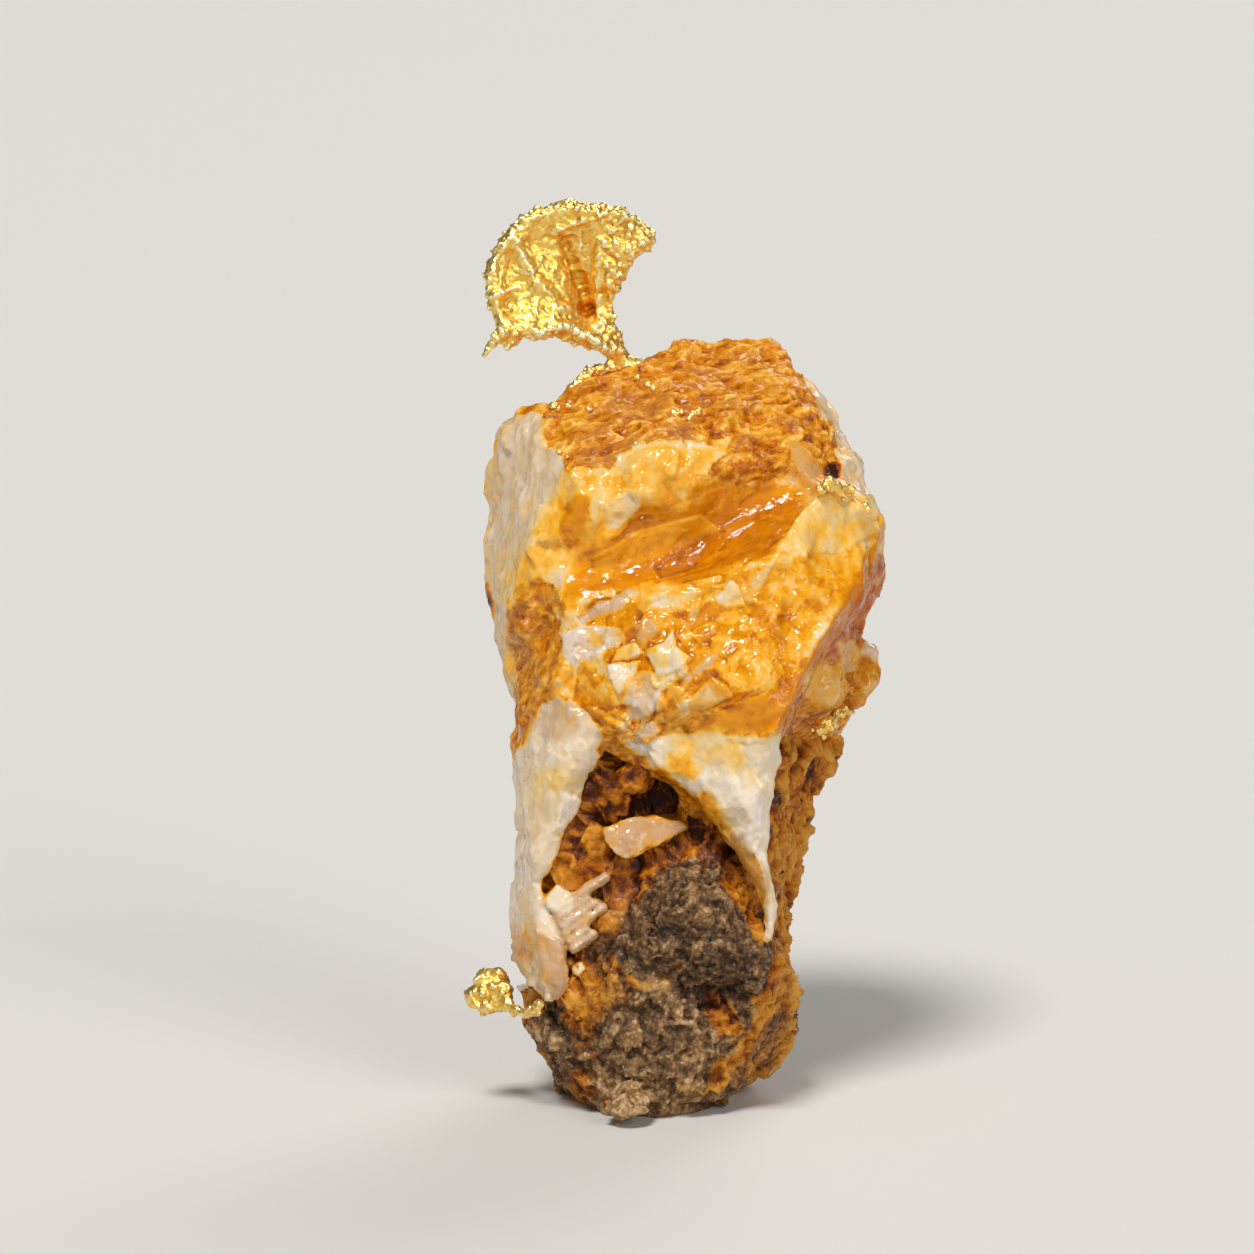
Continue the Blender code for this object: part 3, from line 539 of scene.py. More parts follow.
RIDGE_BEVEL = [
    (14.2, 38.3), (14.4, 38.7), (14.1, 37.3), (13.3, 35.6), (12.8, 34.1), (11.7, 32.1), (10.3, 29.9),
    (8.9, 27.9), (8, 26.3), (7.5, 24.1), (6.8, 24.2), (7.1, 25.9), (7.9, 27.6), (9.2, 29.6), (10.7, 32),
    (11.9, 34.1), (12.7, 35.9), (13.5, 37.3)]
AMBER_TRIANGLE = [(1.2, 24.8), (6.5, 27.3), (7.9, 27.3), (7.3, 24.3), (4.9, 24.5), (2.1, 24.5)]

# %% Places on the two flaps
RIGHT_FLAP = [
    (-3.2, 23.7), (-0.6, 24.3), (2.1, 24.4), (6.5, 24.1), (7.2, 24.3), (7.9, 20), (7.2, 16), (7.5, 9.3),
    (5.9, 9), (5.5, 10.7), (6.3, 11.9), (6.1, 13.5), (4.9, 15.6), (3.7, 16.8), (2.5, 18.7), (1.5, 19.7),
    (-0.3, 20.9), (-2.4, 22.1)]
CREAM_ON_FLAP = [
    (-0.5, 24.2), (2.1, 24.4), (6.5, 24.1), (7.1, 24.1), (6.5, 22.7), (4.2, 21.9), (1.9, 22.1), (0.5, 23.2)]
YELLOW_ON_FLAP = [(-0.1, 23.2), (0.8, 22.8), (1.7, 22.1), (1.5, 21.3), (0.4, 21.6), (-0.5, 22.4)]
AMBER_ON_FLAP = [(0.9, 20.4), (2.2, 20.4), (3.5, 19.2), (4.4, 17.4), (3.4, 16.8), (2.4, 18.2), (1.5, 19.5)]
PINK_ON_FLAP = [
    (2.9, 17.1), (4.2, 17.8), (5.4, 16.5), (6.4, 14.9), (6.5, 13.2), (5.6, 13.7), (4.6, 15.4), (3.6, 16.5)]
RUST_ON_FLAP = [
    (-2.4, 22.1), (-0.3, 20.9), (1.5, 19.7), (2.5, 18.7), (1.9, 20), (0, 21.6), (-2.1, 22.9), (-3.3, 23.7)]
LEFT_FLAP = [
    (-7.5, 26.8), (-5.5, 25.8), (-4.7, 24.1), (-5.1, 22.1), (-6, 20.5), (-6.2, 18.7), (-7.3, 17.7),
    (-7.7, 16), (-8.7, 14.6), (-8.5, 13.3), (-7.9, 12.3), (-7.3, 11.5), (-7.1, 9.5), (-6.8, 7),
    (-7.3, 6.2), (-8.7, 6), (-10.1, 6.7), (-12.1, 8), (-11.8, 13.3), (-11.5, 20), (-10.9, 22.7),
    (-9.7, 24.1), (-8.8, 26.3)]
PINK_ON_LEFT_FLAP = [(-9.1, 25.3), (-7.5, 26.8), (-5.8, 25.9), (-6.3, 24.3), (-8.3, 23.9)]
YELLOW_ON_LEFT_FLAP = [(-9.1, 22), (-6.8, 22.3), (-6.3, 21.3), (-7.5, 20.3), (-9.1, 20.7)]
TAN_ON_LEFT_FLAP = [(-11.5, 11), (-9.5, 11.7), (-8.5, 10), (-10.1, 8.3), (-11.5, 9)]

# %% Places on the left corner, in the recess and on the right side
BROWN_LENS = [
    (-9.7, 34.5), (-7.9, 34.7), (-7.3, 33.7), (-7.1, 32.3), (-7.4, 30.1), (-7.9, 28.6), (-8.5, 27.4),
    (-9, 26), (-9.7, 24.1), (-10.6, 22.3), (-11.6, 22.3), (-11.5, 25.3), (-10.7, 26.5), (-10.5, 28.1),
    (-10.6, 29.5), (-11.1, 30.9), (-11.1, 32.3), (-10.7, 33.6)]
MAROON_RIM = [(-13.1, 34.1), (-12.3, 34.4), (-12, 33.3), (-12, 32), (-12.3, 30.9), (-12.9, 30.9)]
CHIP = [
    (-4.7, 18.1), (-2.4, 18.9), (-1.2, 19), (1.1, 18.4), (1.1, 17.9), (-1.6, 16.9), (-2.9, 16),
    (-3.8, 16.3), (-4.6, 17.2)]
# The side face turns away to the right; its darker tan is partly its own stain and partly painted shade.
SIDE_FACE = [
    (14.4, 37.3), (14.9, 34.7), (13.4, 30.7), (11.9, 29.3), (9.9, 29.3), (8.9, 27.3), (8, 24), (7.5, 24.1),
    (8.9, 27.9), (11.7, 32.1), (13.3, 35.6)]
EGG = [
    (10.2, 29.1), (11.3, 28.7), (11.8, 27.6), (11.4, 26.4), (10.4, 25.9), (9.3, 26.3), (8.7, 27.3),
    (8.9, 28.5)]
PINK_PEBBLE = [(11.1, 30.4), (12, 30.7), (12.5, 29.7), (12.3, 28.5), (11.5, 28.4), (11.1, 29.2)]
WHITE_PEBBLE = [(12.9, 30.8), (14.1, 30.5), (14.3, 29.1), (13.3, 29.2), (12.7, 29.9)]
PRISM_BUNDLE = [
    (-8.3, 13), (-7, 15.2), (-4.2, 16.6), (-2.6, 16.2), (-2.6, 14.2), (-3.4, 11.6), (-5, 9.8), (-6.9, 9.6),
    (-7.5, 11)]
LEFT_EDGE = [(-12.4, 8), (-11.2, 8), (-10.4, 14), (-10.4, 22), (-11.8, 22), (-12.6, 14)]
SMALL_CRYSTAL = [(-6.5, 9.1), (-6, 9.3), (-5.7, 8.7), (-6.1, 8.2), (-6.5, 8.5)]
CORNER_CRYSTAL = [(-10.9, 7.3), (-10.5, 7.6), (-10.1, 7.1), (-10.2, 6.6), (-10.7, 6.7)]
WHITE_SPLINTER = [(-8.5, 13.4), (-7.7, 14.4), (-6.7, 13.8), (-6.5, 12.8), (-7.5, 12.4), (-8.4, 12.8)]
TAN_CRUST = [(11.9, 29.9), (12.9, 30), (14, 29.1), (13.7, 27.3), (12.7, 26.3), (11.9, 26.7), (12, 28.1)]

# %% [markdown]
# Four numbers at each vertex hold the stain. `iron` runs from 0, white quartz, by cream and honey to 1,
# red-brown. `crust` is 1 where a rough skin of iron oxide hides the quartz. `mottle` says how patchy the
# stain is, and `pink` how much of the fleshy haze lies under it. One scale of iron could hold them all,
# but then a rough skin could not lie beside glassy honey of the same colour.

# %% The stains of the quartz, in the order they are laid
QUARTZ_STAINS = [
    # outline, width of its edge, iron, crust, mottle, pink
    (LEFT_FACE, 0.8, 0.17, 0, 0.15, 0.3),
    (CREAM_BAND, 1.0, 0.38, 0, 0.2, 0),
    (HONEY_TROUGH, 0.8, 0.6, 0, 0.15, 0),
    (TROUGH_STREAKS, 0.8, 0.68, 0, 0.2, 0),
    (AMBER_PATCH, 0.3, 0.60, 0, 0.2, 0),
    (FLAKY_FRONT, 0.5, 0.6, 0, 0.35, 0.15),
    (MOTTLED_SLOPE, 0.8, 0.56, 0, 0.4, 0),
    (RAISED_FACET, 0.3, 0.39, 0, 0.3, 0),
    (HONEY_ON_FACET, 0.8, 0.48, 0, 0.45, 0),
    (STAR_OF_CREASES, 0.7, 0.56, 0, 0.5, 0.6),
    (AMBER_TRIANGLE, 0.4, 0.62, 0, 0.15, 0),
    (RIDGE_BEVEL, 0.3, 0.52, 0, 0.2, 0.9),
    (RED_PIT, 0.3, 0.98, 0, 0.3, 0),
    (WHITE_SHOULDER, 0.4, 0.16, 0, 0.3, 0.4),
    # darker tan: partly its own stain, partly painted shade
    (SIDE_FACE, 0.5, 0.64, 0, 0.3, 1),
    (LEFT_FLAP, 0.4, 0.11, 0, 0.25, 0.15),
    (PINK_ON_LEFT_FLAP, 0.5, 0.15, 0, 0.2, 0.6),
    (YELLOW_ON_LEFT_FLAP, 1.2, 0.30, 0, 0.2, 0),
    (TAN_ON_LEFT_FLAP, 1.2, 0.28, 0, 0.3, 0.8),
    (RIGHT_FLAP, 0.3, 0.06, 0, 0.15, 0),
    (CREAM_ON_FLAP, 1.0, 0.29, 0, 0.15, 0),
    (YELLOW_ON_FLAP, 0.6, 0.44, 0, 0.2, 0),
    (AMBER_ON_FLAP, 0.5, 0.48, 0, 0.3, 0.2),
    (PINK_ON_FLAP, 0.6, 0.34, 0, 0.3, 0.9),
    (RUST_ON_FLAP, 0.4, 0.72, 0.4, 0.5, 0),
    (RUSTY_TOP, 0.5, 0.62, 1, 0.6, 0.2),
    (RUSTY_CAP, 0.5, 0.62, 1, 0.4, 0),
    (PINK_KNOB, 0.4, 0.34, 0, 0.3, 0.8),
    (CAVITY, 0.3, 1.0, 0, 0.2, 0),
    (BROWN_LENS, 0.5, 0.52, 0.55, 0.6, 0),
    (MAROON_RIM, 0.3, 1.1, 0, 0, 0),
    (CHIP, 0.3, 0.2, 0, 0.4, 0.9),
    (EGG, 0.3, 0.35, 0, 0.3, 0.3),
    (PINK_PEBBLE, 0.3, 0.20, 0, 0.1, 0.7),
    (TAN_CRUST, 0.3, 0.4, 0.4, 0.6, 0.4),
    (WHITE_PEBBLE, 0.3, 0.12, 0, 0.1, 0.4),
    (PRISM_BUNDLE, 0.3, 0.16, 0, 0.3, 0.7),
    (WHITE_SPLINTER, 0.2, 0.12, 0, 0.1, 0),
    (SMALL_CRYSTAL, 0.2, 0.08, 0, 0.1, 0.1),
    (CORNER_CRYSTAL, 0.2, 0.05, 0, 0.1, 0),
]
RUST_DOTS = [(-2, 38.8), (-1.7, 38.5), (-1.4, 38.9), (2, 37.1), (2.7, 37.1), (-3.4, 35.9), (4.1, 38.6)]
DOT_WIDTH = 0.2
DOT_HEIGHT = 0.14


def dot_outline(right, up):
    """The four corners of a small spot."""
    return [
        (right - DOT_WIDTH, up), (right, up + DOT_HEIGHT), (right + DOT_WIDTH, up), (right, up - DOT_HEIGHT)]


QUARTZ_STAINS += [(dot_outline(*dot), 0.2, 0.85, 0, 0, 0) for dot in RUST_DOTS]
STAIN_NAMES = ("iron", "crust", "mottle", "pink")
print("stains on the quartz:", len(QUARTZ_STAINS))

# %% [markdown]
# The largest flakes and facets are laid one by one, since they catch the eye. Each stands a little proud
# of its neighbours or below them, leans its own way, and took up iron in its own measure. Many more are
# left to noise.

# %% Flakes of the front that are laid one by one
FRONT_FLAKES = [
    # outline, lift in mm, lean to the right, lean upwards, iron, mottle, pink
    # white flake
    ([(-7.2, 31), (-5.9, 31.6), (-3.5, 31.4), (-3.1, 30.6), (-4.8, 29.7), (-6.5, 28.9), (-7.3, 29.6)],
     0.1, -0.05, 0.12, 0.27, 0.3, 0.4),
    # mauve drift
    ([(-6.3, 32.1), (-4.7, 33), (-2.9, 34), (-2.3, 33.8), (-3.1, 33), (-4.4, 32.4), (-5.9, 31.7)],
     0.0, 0.05, 0.1, 0.28, 0.3, 0.75),
    # cream wedge
    ([(-3.7, 30), (-2.5, 30.6), (-1.9, 29.7), (-2.4, 29.4), (-4, 29.2)],
     0.22, 0.1, -0.1, 0.38, 0.1, 0),
    # yellow tooth
    ([(-4.3, 29), (-2.1, 29.2), (-2.5, 28.2), (-3.1, 27.7), (-3.5, 26.8), (-3.9, 27.6)],
     0.26, -0.12, 0.05, 0.36, 0.1, 0),
    # yellow star
    ([(-1.7, 30), (-0.5, 30.4), (0, 31.3), (0.3, 30.1), (1.3, 29.4), (0.8, 28.9), (0, 28.5),
      (-0.8, 28.1), (-1.2, 28.8)],
     0.3, 0.05, 0.12, 0.36, 0.15, 0),
    # grey tooth
    ([(-2.1, 28.5), (-1.2, 28.5), (-0.7, 27.3), (-0.8, 26.1), (-2.1, 25.4), (-2.9, 25.2), (-3.3, 26.4),
      (-2.8, 27.6)],
     0.08, 0.1, 0.0, 0.36, 0.15, 0.5),
    # orange tongue
    ([(-5.5, 28), (-4, 27.6), (-3.5, 26.1), (-3.1, 24.6), (-4.1, 24.9), (-5.2, 25.7), (-5.7, 26.9)],
     0.16, 0.12, 0.0, 0.6, 0.3, 0.1),
    # tan flakes
    ([(-0.5, 25.3), (0.5, 26.1), (1.9, 27.4), (2.7, 28.2), (3.5, 27.7), (4, 26.9), (1.9, 25.8),
      (0, 24.6)],
     0.16, 0.0, 0.14, 0.44, 0.3, 0.4),
    # white flake by the trough
    ([(2.9, 33.3), (3.9, 34.5), (4.4, 34.2), (4.9, 32.9), (4.3, 32.8), (3.5, 32.8)],
     0.22, 0.1, 0.1, 0.33, 0.2, 0),
    # tan splinter
    ([(4.5, 33.8), (5.6, 34.9), (6.8, 35.9), (6.4, 35), (5.9, 34), (5.1, 33)],
     0.2, 0.15, 0.0, 0.36, 0.2, 0.35),
    # mauve streak
    ([(0.5, 31.8), (1.7, 32.7), (2.5, 32.4), (1.2, 31.5)],
     0.0, 0.0, 0.0, 0.42, 0.3, 0.7),
    # brown knob
    ([(-2.5, 31.6), (-1.6, 32.1), (-0.8, 31.3), (-1.7, 30.4), (-2.4, 30.6)],
     0.14, 0.0, 0.0, 0.4, 0.3, 0.8),
    # mauve wedge
    ([(1.2, 28.5), (2.7, 29.7), (3.1, 29.6), (2, 28.5), (0.8, 27.7)],
     0.05, 0.1, 0.0, 0.34, 0.2, 0.75),
    # pearly grains
    ([(-1.3, 28.4), (0.8, 28.9), (1.1, 28.4), (-0.5, 27.3), (-1.1, 27.4)],
     0.2, 0.0, 0.0, 0.38, 0.3, 0),
    # yellow ledge
    ([(-2.1, 33.3), (-0.3, 34.1), (1.9, 34.6), (3.2, 34.9), (2.7, 34.1), (1.2, 33.4), (-0.5, 32.9)],
     0.12, 0.0, 0.12, 0.48, 0.4, 0.1),
    # amber lens by the pit
    ([(-2.1, 34.4), (-1.3, 34.6), (-0.8, 34), (-1.2, 33.3), (-2, 33)],
     0.15, 0.0, 0.0, 0.52, 0.2, 0),
    # orange fan
    ([(0.3, 30.6), (1.9, 31.6), (3.3, 32.1), (2.9, 31.2), (1.6, 30.2), (0.5, 29.8)],
     0.12, 0.1, 0.1, 0.58, 0.3, 0),
    # crumple at the star
    ([(-2.9, 24.8), (-1.5, 25.2), (-0.7, 24.6), (-1.5, 23.8), (-2.5, 23.7)],
     0.14, 0.1, -0.1, 0.38, 0.4, 0.6),
]

# %% Sheets and facets that are laid one by one
FACETS = [
    # outline, lift in mm, lean to the right, lean upwards, iron, mottle, pink
    # pale step over the trough
    ([(-4.8, 39.2), (-3.3, 40.4), (-1.9, 40.9), (-2.1, 39.6), (-3.5, 38.1), (-4.5, 38)],
     0.12, 0.12, 0.0, 0.26, 0.2, 0.2),
    # honey sheet
    ([(-5.5, 36), (-2.1, 38), (1.9, 39), (3.2, 38), (-0.8, 36.2), (-4.8, 34.6)],
     0.08, -0.03, 0.1, 0.53, 0.2, 0),
    # dark honey sheet
    ([(-1.3, 35.6), (1.9, 37.3), (6.5, 39), (8.5, 38.6), (6.5, 36.8), (1.9, 35.6), (-0.8, 34.8)],
     -0.08, 0.0, 0.1, 0.67, 0.25, 0),
    # cream facet
    ([(-4, 42.2), (-1.5, 43.4), (0.5, 43.2), (0.3, 41.6), (-2.1, 40.6), (-3.9, 40.9)],
     0.1, 0.1, 0.1, 0.35, 0.15, 0),
    # flat white facet
    ([(-5.6, 39.4), (-4.8, 40.9), (-4, 40.6), (-4.4, 39), (-5.2, 38)],
     0.06, -0.1, 0.0, 0.3, 0.1, 0.1),
    # top corner of the raised facet
    ([(11.7, 41.3), (13.3, 40.9), (14.1, 39.4), (13.1, 38.6), (12, 40)],
     0.06, 0.1, 0.0, 0.16, 0.2, 0.35),
    # upper plane of the raised facet
    ([(7, 36.6), (8.6, 39), (10.2, 40.7), (13.2, 40.1), (13.8, 38), (12.6, 37.3), (11.3, 36.4),
      (8.8, 36.5)],
     0.2, 0.0, 0.06, 0.34, 0.3, 0),
    # white facet of the flap
    ([(4.5, 23.8), (7.5, 23.7), (7.9, 20.6), (6.5, 20), (5.1, 21.3)],
     0.06, 0.08, -0.06, 0.14, 0.1, 0),
    # left flap bright facet
    ([(-7.5, 20.6), (-6.1, 20), (-5.2, 18.6), (-5.9, 16.6), (-7.1, 16.6), (-7.7, 18.6)],
     0.16, 0.12, 0.0, 0.05, 0.1, 0),
    # left flap grey facet
    ([(-9.1, 20), (-7.7, 20.6), (-7.7, 16.6), (-8.8, 14.6), (-9.5, 16.6)],
     0.02, -0.1, 0.0, 0.14, 0.1, 0.2),
    # left flap low facet
    ([(-9.1, 11.3), (-7.5, 10.6), (-6.1, 8.3), (-6.7, 6.6), (-8, 6.6), (-8.8, 8.6)],
     0.12, 0.1, 0.05, 0.2, 0.3, 0.9),
]
FLAKES = FRONT_FLAKES + FACETS
FLAKE_EDGE = 0.15
FLAKE_STEP = 0.08
QUARTZ_STAINS += [(outline, FLAKE_EDGE, iron, 0, mottle, pink) for outline, *_, iron, mottle, pink in FLAKES]
print("flakes laid one by one:", len(FLAKES))

# %% [markdown]
# A flake lifts and tilts the surface inside its outline. A stain is mixed into what lies there already,
# so the order of the list is the order in which the patches cover each other. The noise that worries the
# edges has two sizes, 1.1 mm and 0.4 mm, like the bays and the frayed grains of a real stain.

# %% Lay flakes and stains
BAYS = 0.35
FRAYS = 0.15


def flake_steps(places, seen):
    """How far the flakes that are laid one by one stand out, in millimetres."""
    right, up, _ = as_seen(places)
    height = np.zeros(len(places))
    for outline, lift, lean_right, lean_up, *_ in FLAKES:
        middle = np.mean(outline, axis=0)
        inside = share(depth_inside(right, up, outline), -FLAKE_STEP, FLAKE_STEP)
        height += inside * (lift + lean_right * (right - middle[0]) + lean_up * (up - middle[1]))
    return height * seen


def lay_stains(thing, start, stains, seen):
    """Lays each stain over the last where the eye sees the surface, with a ragged edge."""
    places = places_of(thing)
    right, up, _ = as_seen(places)
    worry = BAYS * ragged(places, 1.1) + FRAYS * ragged(places, 0.4, shift=7)
    painted = start.copy()
    for outline, edge, *amounts in stains:
        inside = share(depth_inside(right, up, outline) + worry * min(1.0, 1.5 * edge), -edge / 2, edge / 2)
        painted += inside[:, None] * (np.array(amounts) - painted)
    return start + seen[:, None] * (painted - start)


def keep_values(thing, **columns):
    """Stores one number at each vertex under each name, for a material to read."""
    for name, values in columns.items():
        attribute = thing.data.attributes.new(name, "FLOAT", "POINT")
        attribute.data.foreach_set("value", values.astype(np.float32))


# %% [markdown]
# The back is out of the picture, so it follows the habits of the front: the top is rusty, white quartz
# shows below it, and honey gathers in drifts a few millimetres wide.

# %% Stains away from the front
CRUST_ABOVE = 46.0
RUST_BELOW = 31.5
WHITE_EDGE = -10.5


def quartz_everywhere(places):
    """Stains for the sides and the back, from height and slow noise."""
    drift = share(ragged(places, 6.0, shift=3), -0.1, 0.7)
    top = share(places[:, 2] + 1.5 * ragged(places, 3.0), CRUST_ABOVE, CRUST_ABOVE + 1)
    low = share(places[:, 2] + 1.5 * ragged(places, 2.5, shift=5), RUST_BELOW, RUST_BELOW - 1)
    low *= share(places[:, 0], WHITE_EDGE, WHITE_EDGE + 2)
    iron = np.maximum(np.maximum(0.12 + 0.45 * drift, 0.68 * top), 0.62 * low)
    crust = np.maximum(top, 0.8 * low)
    mottle = 0.3 + 0.5 * crust
    pink = 0.5 * share(ragged(places, 4.0, shift=11), 0.0, 0.6)
    return np.stack([iron, crust, mottle, pink], axis=1)


# %% [markdown]
# ## The wall rock
# The vein grew on a grey-brown, granular host rock. It shows as a rough prow between the two flaps and
# as the foot, and rust covers the recess, the strip behind the right flap and the back.

# %% Places on the prow and round it
GREY_PROW = [
    (1.7, 16.2), (3.3, 15.6), (3.5, 15.2), (3.9, 13.5), (4.7, 11.5), (5.9, 10), (6.6, 8.7), (6.7, 8.1),
    (5.7, 7.1), (4.5, 7.7), (2.7, 8.1), (1.2, 7.7), (-0.3, 8.3), (-2.1, 7.7), (-3.1, 8.7), (-3.6, 10.3),
    (-2.4, 13.1), (-1.4, 14.6), (0, 15.5)]
DARK_OF_PROW = [
    (2.9, 13.9), (3.9, 13.5), (4.7, 11.5), (5.9, 10), (6.6, 8.7), (6.7, 8.1), (5.7, 7.1), (4.5, 7.7),
    (2.7, 8.1), (1.2, 7.7), (1.5, 9.5), (2.5, 11.5)]
SHADE_UNDER_PROW = [(-0.3, 8.3), (1.9, 8.1), (4.5, 7.6), (5.6, 7.1), (4.5, 6.7), (1.9, 7.2), (-0.3, 7.3)]
GREY_FOOT = [
    (-4.8, 9.8), (-2.1, 8.9), (1.2, 8.8), (4.2, 8.2), (5.1, 4.7), (4.2, 2), (1.9, -1.5), (-2.1, -1.5),
    (-5.5, 0.7), (-6.5, 3.3), (-6.1, 6), (-5.5, 8)]
TAN_ROCK = [
    (-5.5, 10), (-3.5, 10), (-1.5, 9.3), (-1.5, 7.7), (-3.5, 6.7), (-5.5, 3), (-7.5, 3.5), (-6.5, 7.3)]
OLIVE_ROCK = [(-7.5, 12), (-4.8, 13), (-3.5, 13.3), (-4, 10.7), (-5.5, 9.3), (-7.1, 9.3)]
AMBER_POCKET = [(2.1, 7.5), (2.9, 7.3), (3.9, 6.3), (4.7, 4.8), (4.2, 4.4), (2.9, 4.4), (2.3, 5.9)]
RUSTY_BAND = [
    (6.5, 10.3), (8.5, 9.3), (7.9, 7.3), (6.5, 5.3), (4.9, 3.3), (3.5, 1), (1.9, 0.7), (4.2, 3.3),
    (5.1, 5.3), (5.7, 6.9), (6.7, 8.1)]
RUSTY_STRIP = [
    (7.2, 24), (11.9, 26.7), (12.4, 24), (10.7, 20), (9.4, 16), (9, 12), (8.9, 9.3), (6.9, 9.3),
    (6.7, 11.3), (7.1, 13.3), (6.5, 16), (7.1, 20)]
LOW_RIGHT_LUMP = [(7.7, 9.3), (9.4, 8), (9.4, 6), (8.1, 2.7), (5.9, 1), (4.2, 0.6), (5.1, 3.3), (6.5, 5.3)]

# %% Places at the foot of the wall rock and in the recess
BROWN_SLAB = [(-9.5, 4), (-8.3, 4), (-6.8, 2), (-6.9, 0.3), (-8.1, 0.5), (-9.5, 2.7)]
GREY_BLADE = [(-8.9, 5.7), (-8.3, 5.6), (-7.5, 4), (-6.8, 2), (-7.5, 2.3), (-8.4, 4)]
PINK_CRYSTALS = [(-10.3, 5), (-9.3, 5.1), (-8.7, 4.3), (-9.1, 3.6), (-10.1, 4)]
AMBER_BUMP = [(-7.5, 6), (-6.7, 5.9), (-6.3, 5.1), (-6.9, 4.3), (-7.6, 4.7)]
FOOT_FLAKE = [(-5.5, 0.3), (-3.5, 1.1), (-0.9, 0.4), (-0.9, -1), (-3.1, -1.4), (-5, -1)]
# Painted shade: the rock in the shade under the middle of the quartz is stained darker.
SHADE_PAINTED_UNDER_THE_STAR = [
    (-4.8, 22), (-2.7, 24), (-1.3, 22.6), (1.2, 20), (2.7, 18), (2.9, 16.2), (1.2, 16.6), (1.9, 18),
    (-1.5, 19), (-4.8, 19.2)]
ORANGE_IN_RECESS = [
    (-5.9, 23.2), (-2.9, 24.2), (-2.9, 22.9), (-4.8, 21.6), (-5.7, 20), (-4.8, 18), (-4.4, 16.1),
    (-5.6, 14.6), (-8.3, 13.6), (-8.8, 14.6), (-7.5, 16), (-6.1, 18.6), (-6.4, 21.3)]
ORANGE_BY_THE_FLAP = [
    (2.7, 15.3), (3.9, 14.6), (5.3, 13), (6.1, 11.3), (6.1, 10), (4.5, 11.3), (3.5, 13)]
RUSTY_RECESS = [
    (-3.2, 23.7), (-2.4, 21.9), (-0.3, 20.9), (1.5, 19.7), (2.5, 18.7), (3.7, 16.8), (4.9, 15.6),
    (6.1, 13.5), (6.3, 11.9), (4.7, 11.5), (3.9, 13.5), (3.3, 15.6), (1.7, 16.2), (0, 15.5), (-1.4, 14.6),
    (-2.4, 13.1), (-4.8, 13), (-7.5, 13.3), (-8.7, 14.6), (-7.7, 16), (-7.3, 17.7), (-6.2, 18.7),
    (-6, 20.5), (-5.1, 22.1), (-4.7, 23.7)]
SHELF = [(-5.9, 20), (-4.9, 21.1), (-2.3, 22.3), (-1.2, 21.6), (-1.5, 20.6), (-4.2, 19.2), (-5.4, 19)]

# %% [markdown]
# A few crisp shapes stand out of the broad forms: the flesh-coloured brick that lies across the recess,
# a white splinter below it, and a bundle of quartz prisms. Each is a convex block round a few corners,
# grown into the quartz by the remesh.

# %% Crisp blocks of quartz
BRICK = [
    (-4.7, 18.1, 6.3), (-2.4, 18.9, 6), (-1.2, 19, 5.8), (1.1, 18.4, 5.4), (1.1, 17.9, 5.5),
    (-1.6, 16.9, 6.2), (-2.9, 16, 6.6), (-3.8, 16.3, 6.7), (-4.6, 17.2, 6.6), (-4.4, 18, 3.6),
    (1, 18.3, 3.4), (-3, 16.4, 3.8)]
PRISM_COUNT = 6
FIRST_PRISM = (-7.9, 12.5, 6.1)
PRISM_STEP = (0.22, -0.52, 0.0)
PRISM_RISE = (0.83, 0.56, 0.02)
PRISM_LENGTH = 4.4
PRISM_WIDTH = 0.3
PRISM_DEPTH = 1.4
PRISM_UNEVEN = 0.7
PRISM_SHORTER = 0.3
PRISM_CREST = 1.5 * PRISM_WIDTH


def prism(number):
    """One of the ridged rods of the bundle, which lie side by side on the stone and rise to the right."""
    length = PRISM_LENGTH - PRISM_UNEVEN * (number * 2 % 3) - PRISM_SHORTER * number
    corners = []
    for reach in (0, length):
        right, up, near = [
            first + step * number + rise * reach
            for first, step, rise in zip(FIRST_PRISM, PRISM_STEP, PRISM_RISE)]
        for side in (-PRISM_WIDTH, PRISM_WIDTH):
            edge = (right - side * PRISM_RISE[1], up + side * PRISM_RISE[0])
            corners += [(*edge, near), (*edge, near - PRISM_DEPTH)]
        corners.append((right, up, near + PRISM_CREST))
    return block(corners)


print("prisms:", PRISM_COUNT)

# %% Dense copies of the two stones
QUARTZ_VOXEL = 0.16
ROCK_VOXEL = 0.18
STONE_TRIANGLES = 190000

both_solids = [tree_of(solids["quartz"]), tree_of(solids["wall_rock"])]
QUARTZ_CHIPS = [
    # outline, how far it is raised and how deep it is sunk, in mm
    (WHITE_SPLINTER, 0.7, 0.6), (SMALL_CRYSTAL, 0.5, 0.5), (CORNER_CRYSTAL, 0.5, 0.5)]
ROCK_CHIPS = [(GREY_BLADE, 0.7, 0.6), (SHELF, 0.7, 0.8), (AMBER_BUMP, 0.5, 0.5), (PINK_CRYSTALS, 0.4, 0.5)]
quartz_extras = [block(BRICK)] + [slab(*chip, both_solids) for chip in QUARTZ_CHIPS]
quartz_extras += [prism(number) for number in range(PRISM_COUNT)]
rock_extras = [slab(*chip, both_solids) for chip in ROCK_CHIPS]
quartz = dense_copy("quartz", QUARTZ_VOXEL, quartz_extras)
rock = dense_copy("wall_rock", ROCK_VOXEL, rock_extras)
both_copies = [tree_of(quartz), tree_of(rock)]
print("quartz vertices:", len(quartz.data.vertices), "wall rock vertices:", len(rock.data.vertices))

# %% [markdown]
# Each place breaks in its own way. The left face has upright growth ribs, the rusty top is a crust with
# wrinkles that run down to the left, the front is flaky, and the trough and the flaps are glassy with
# only soft ripples.

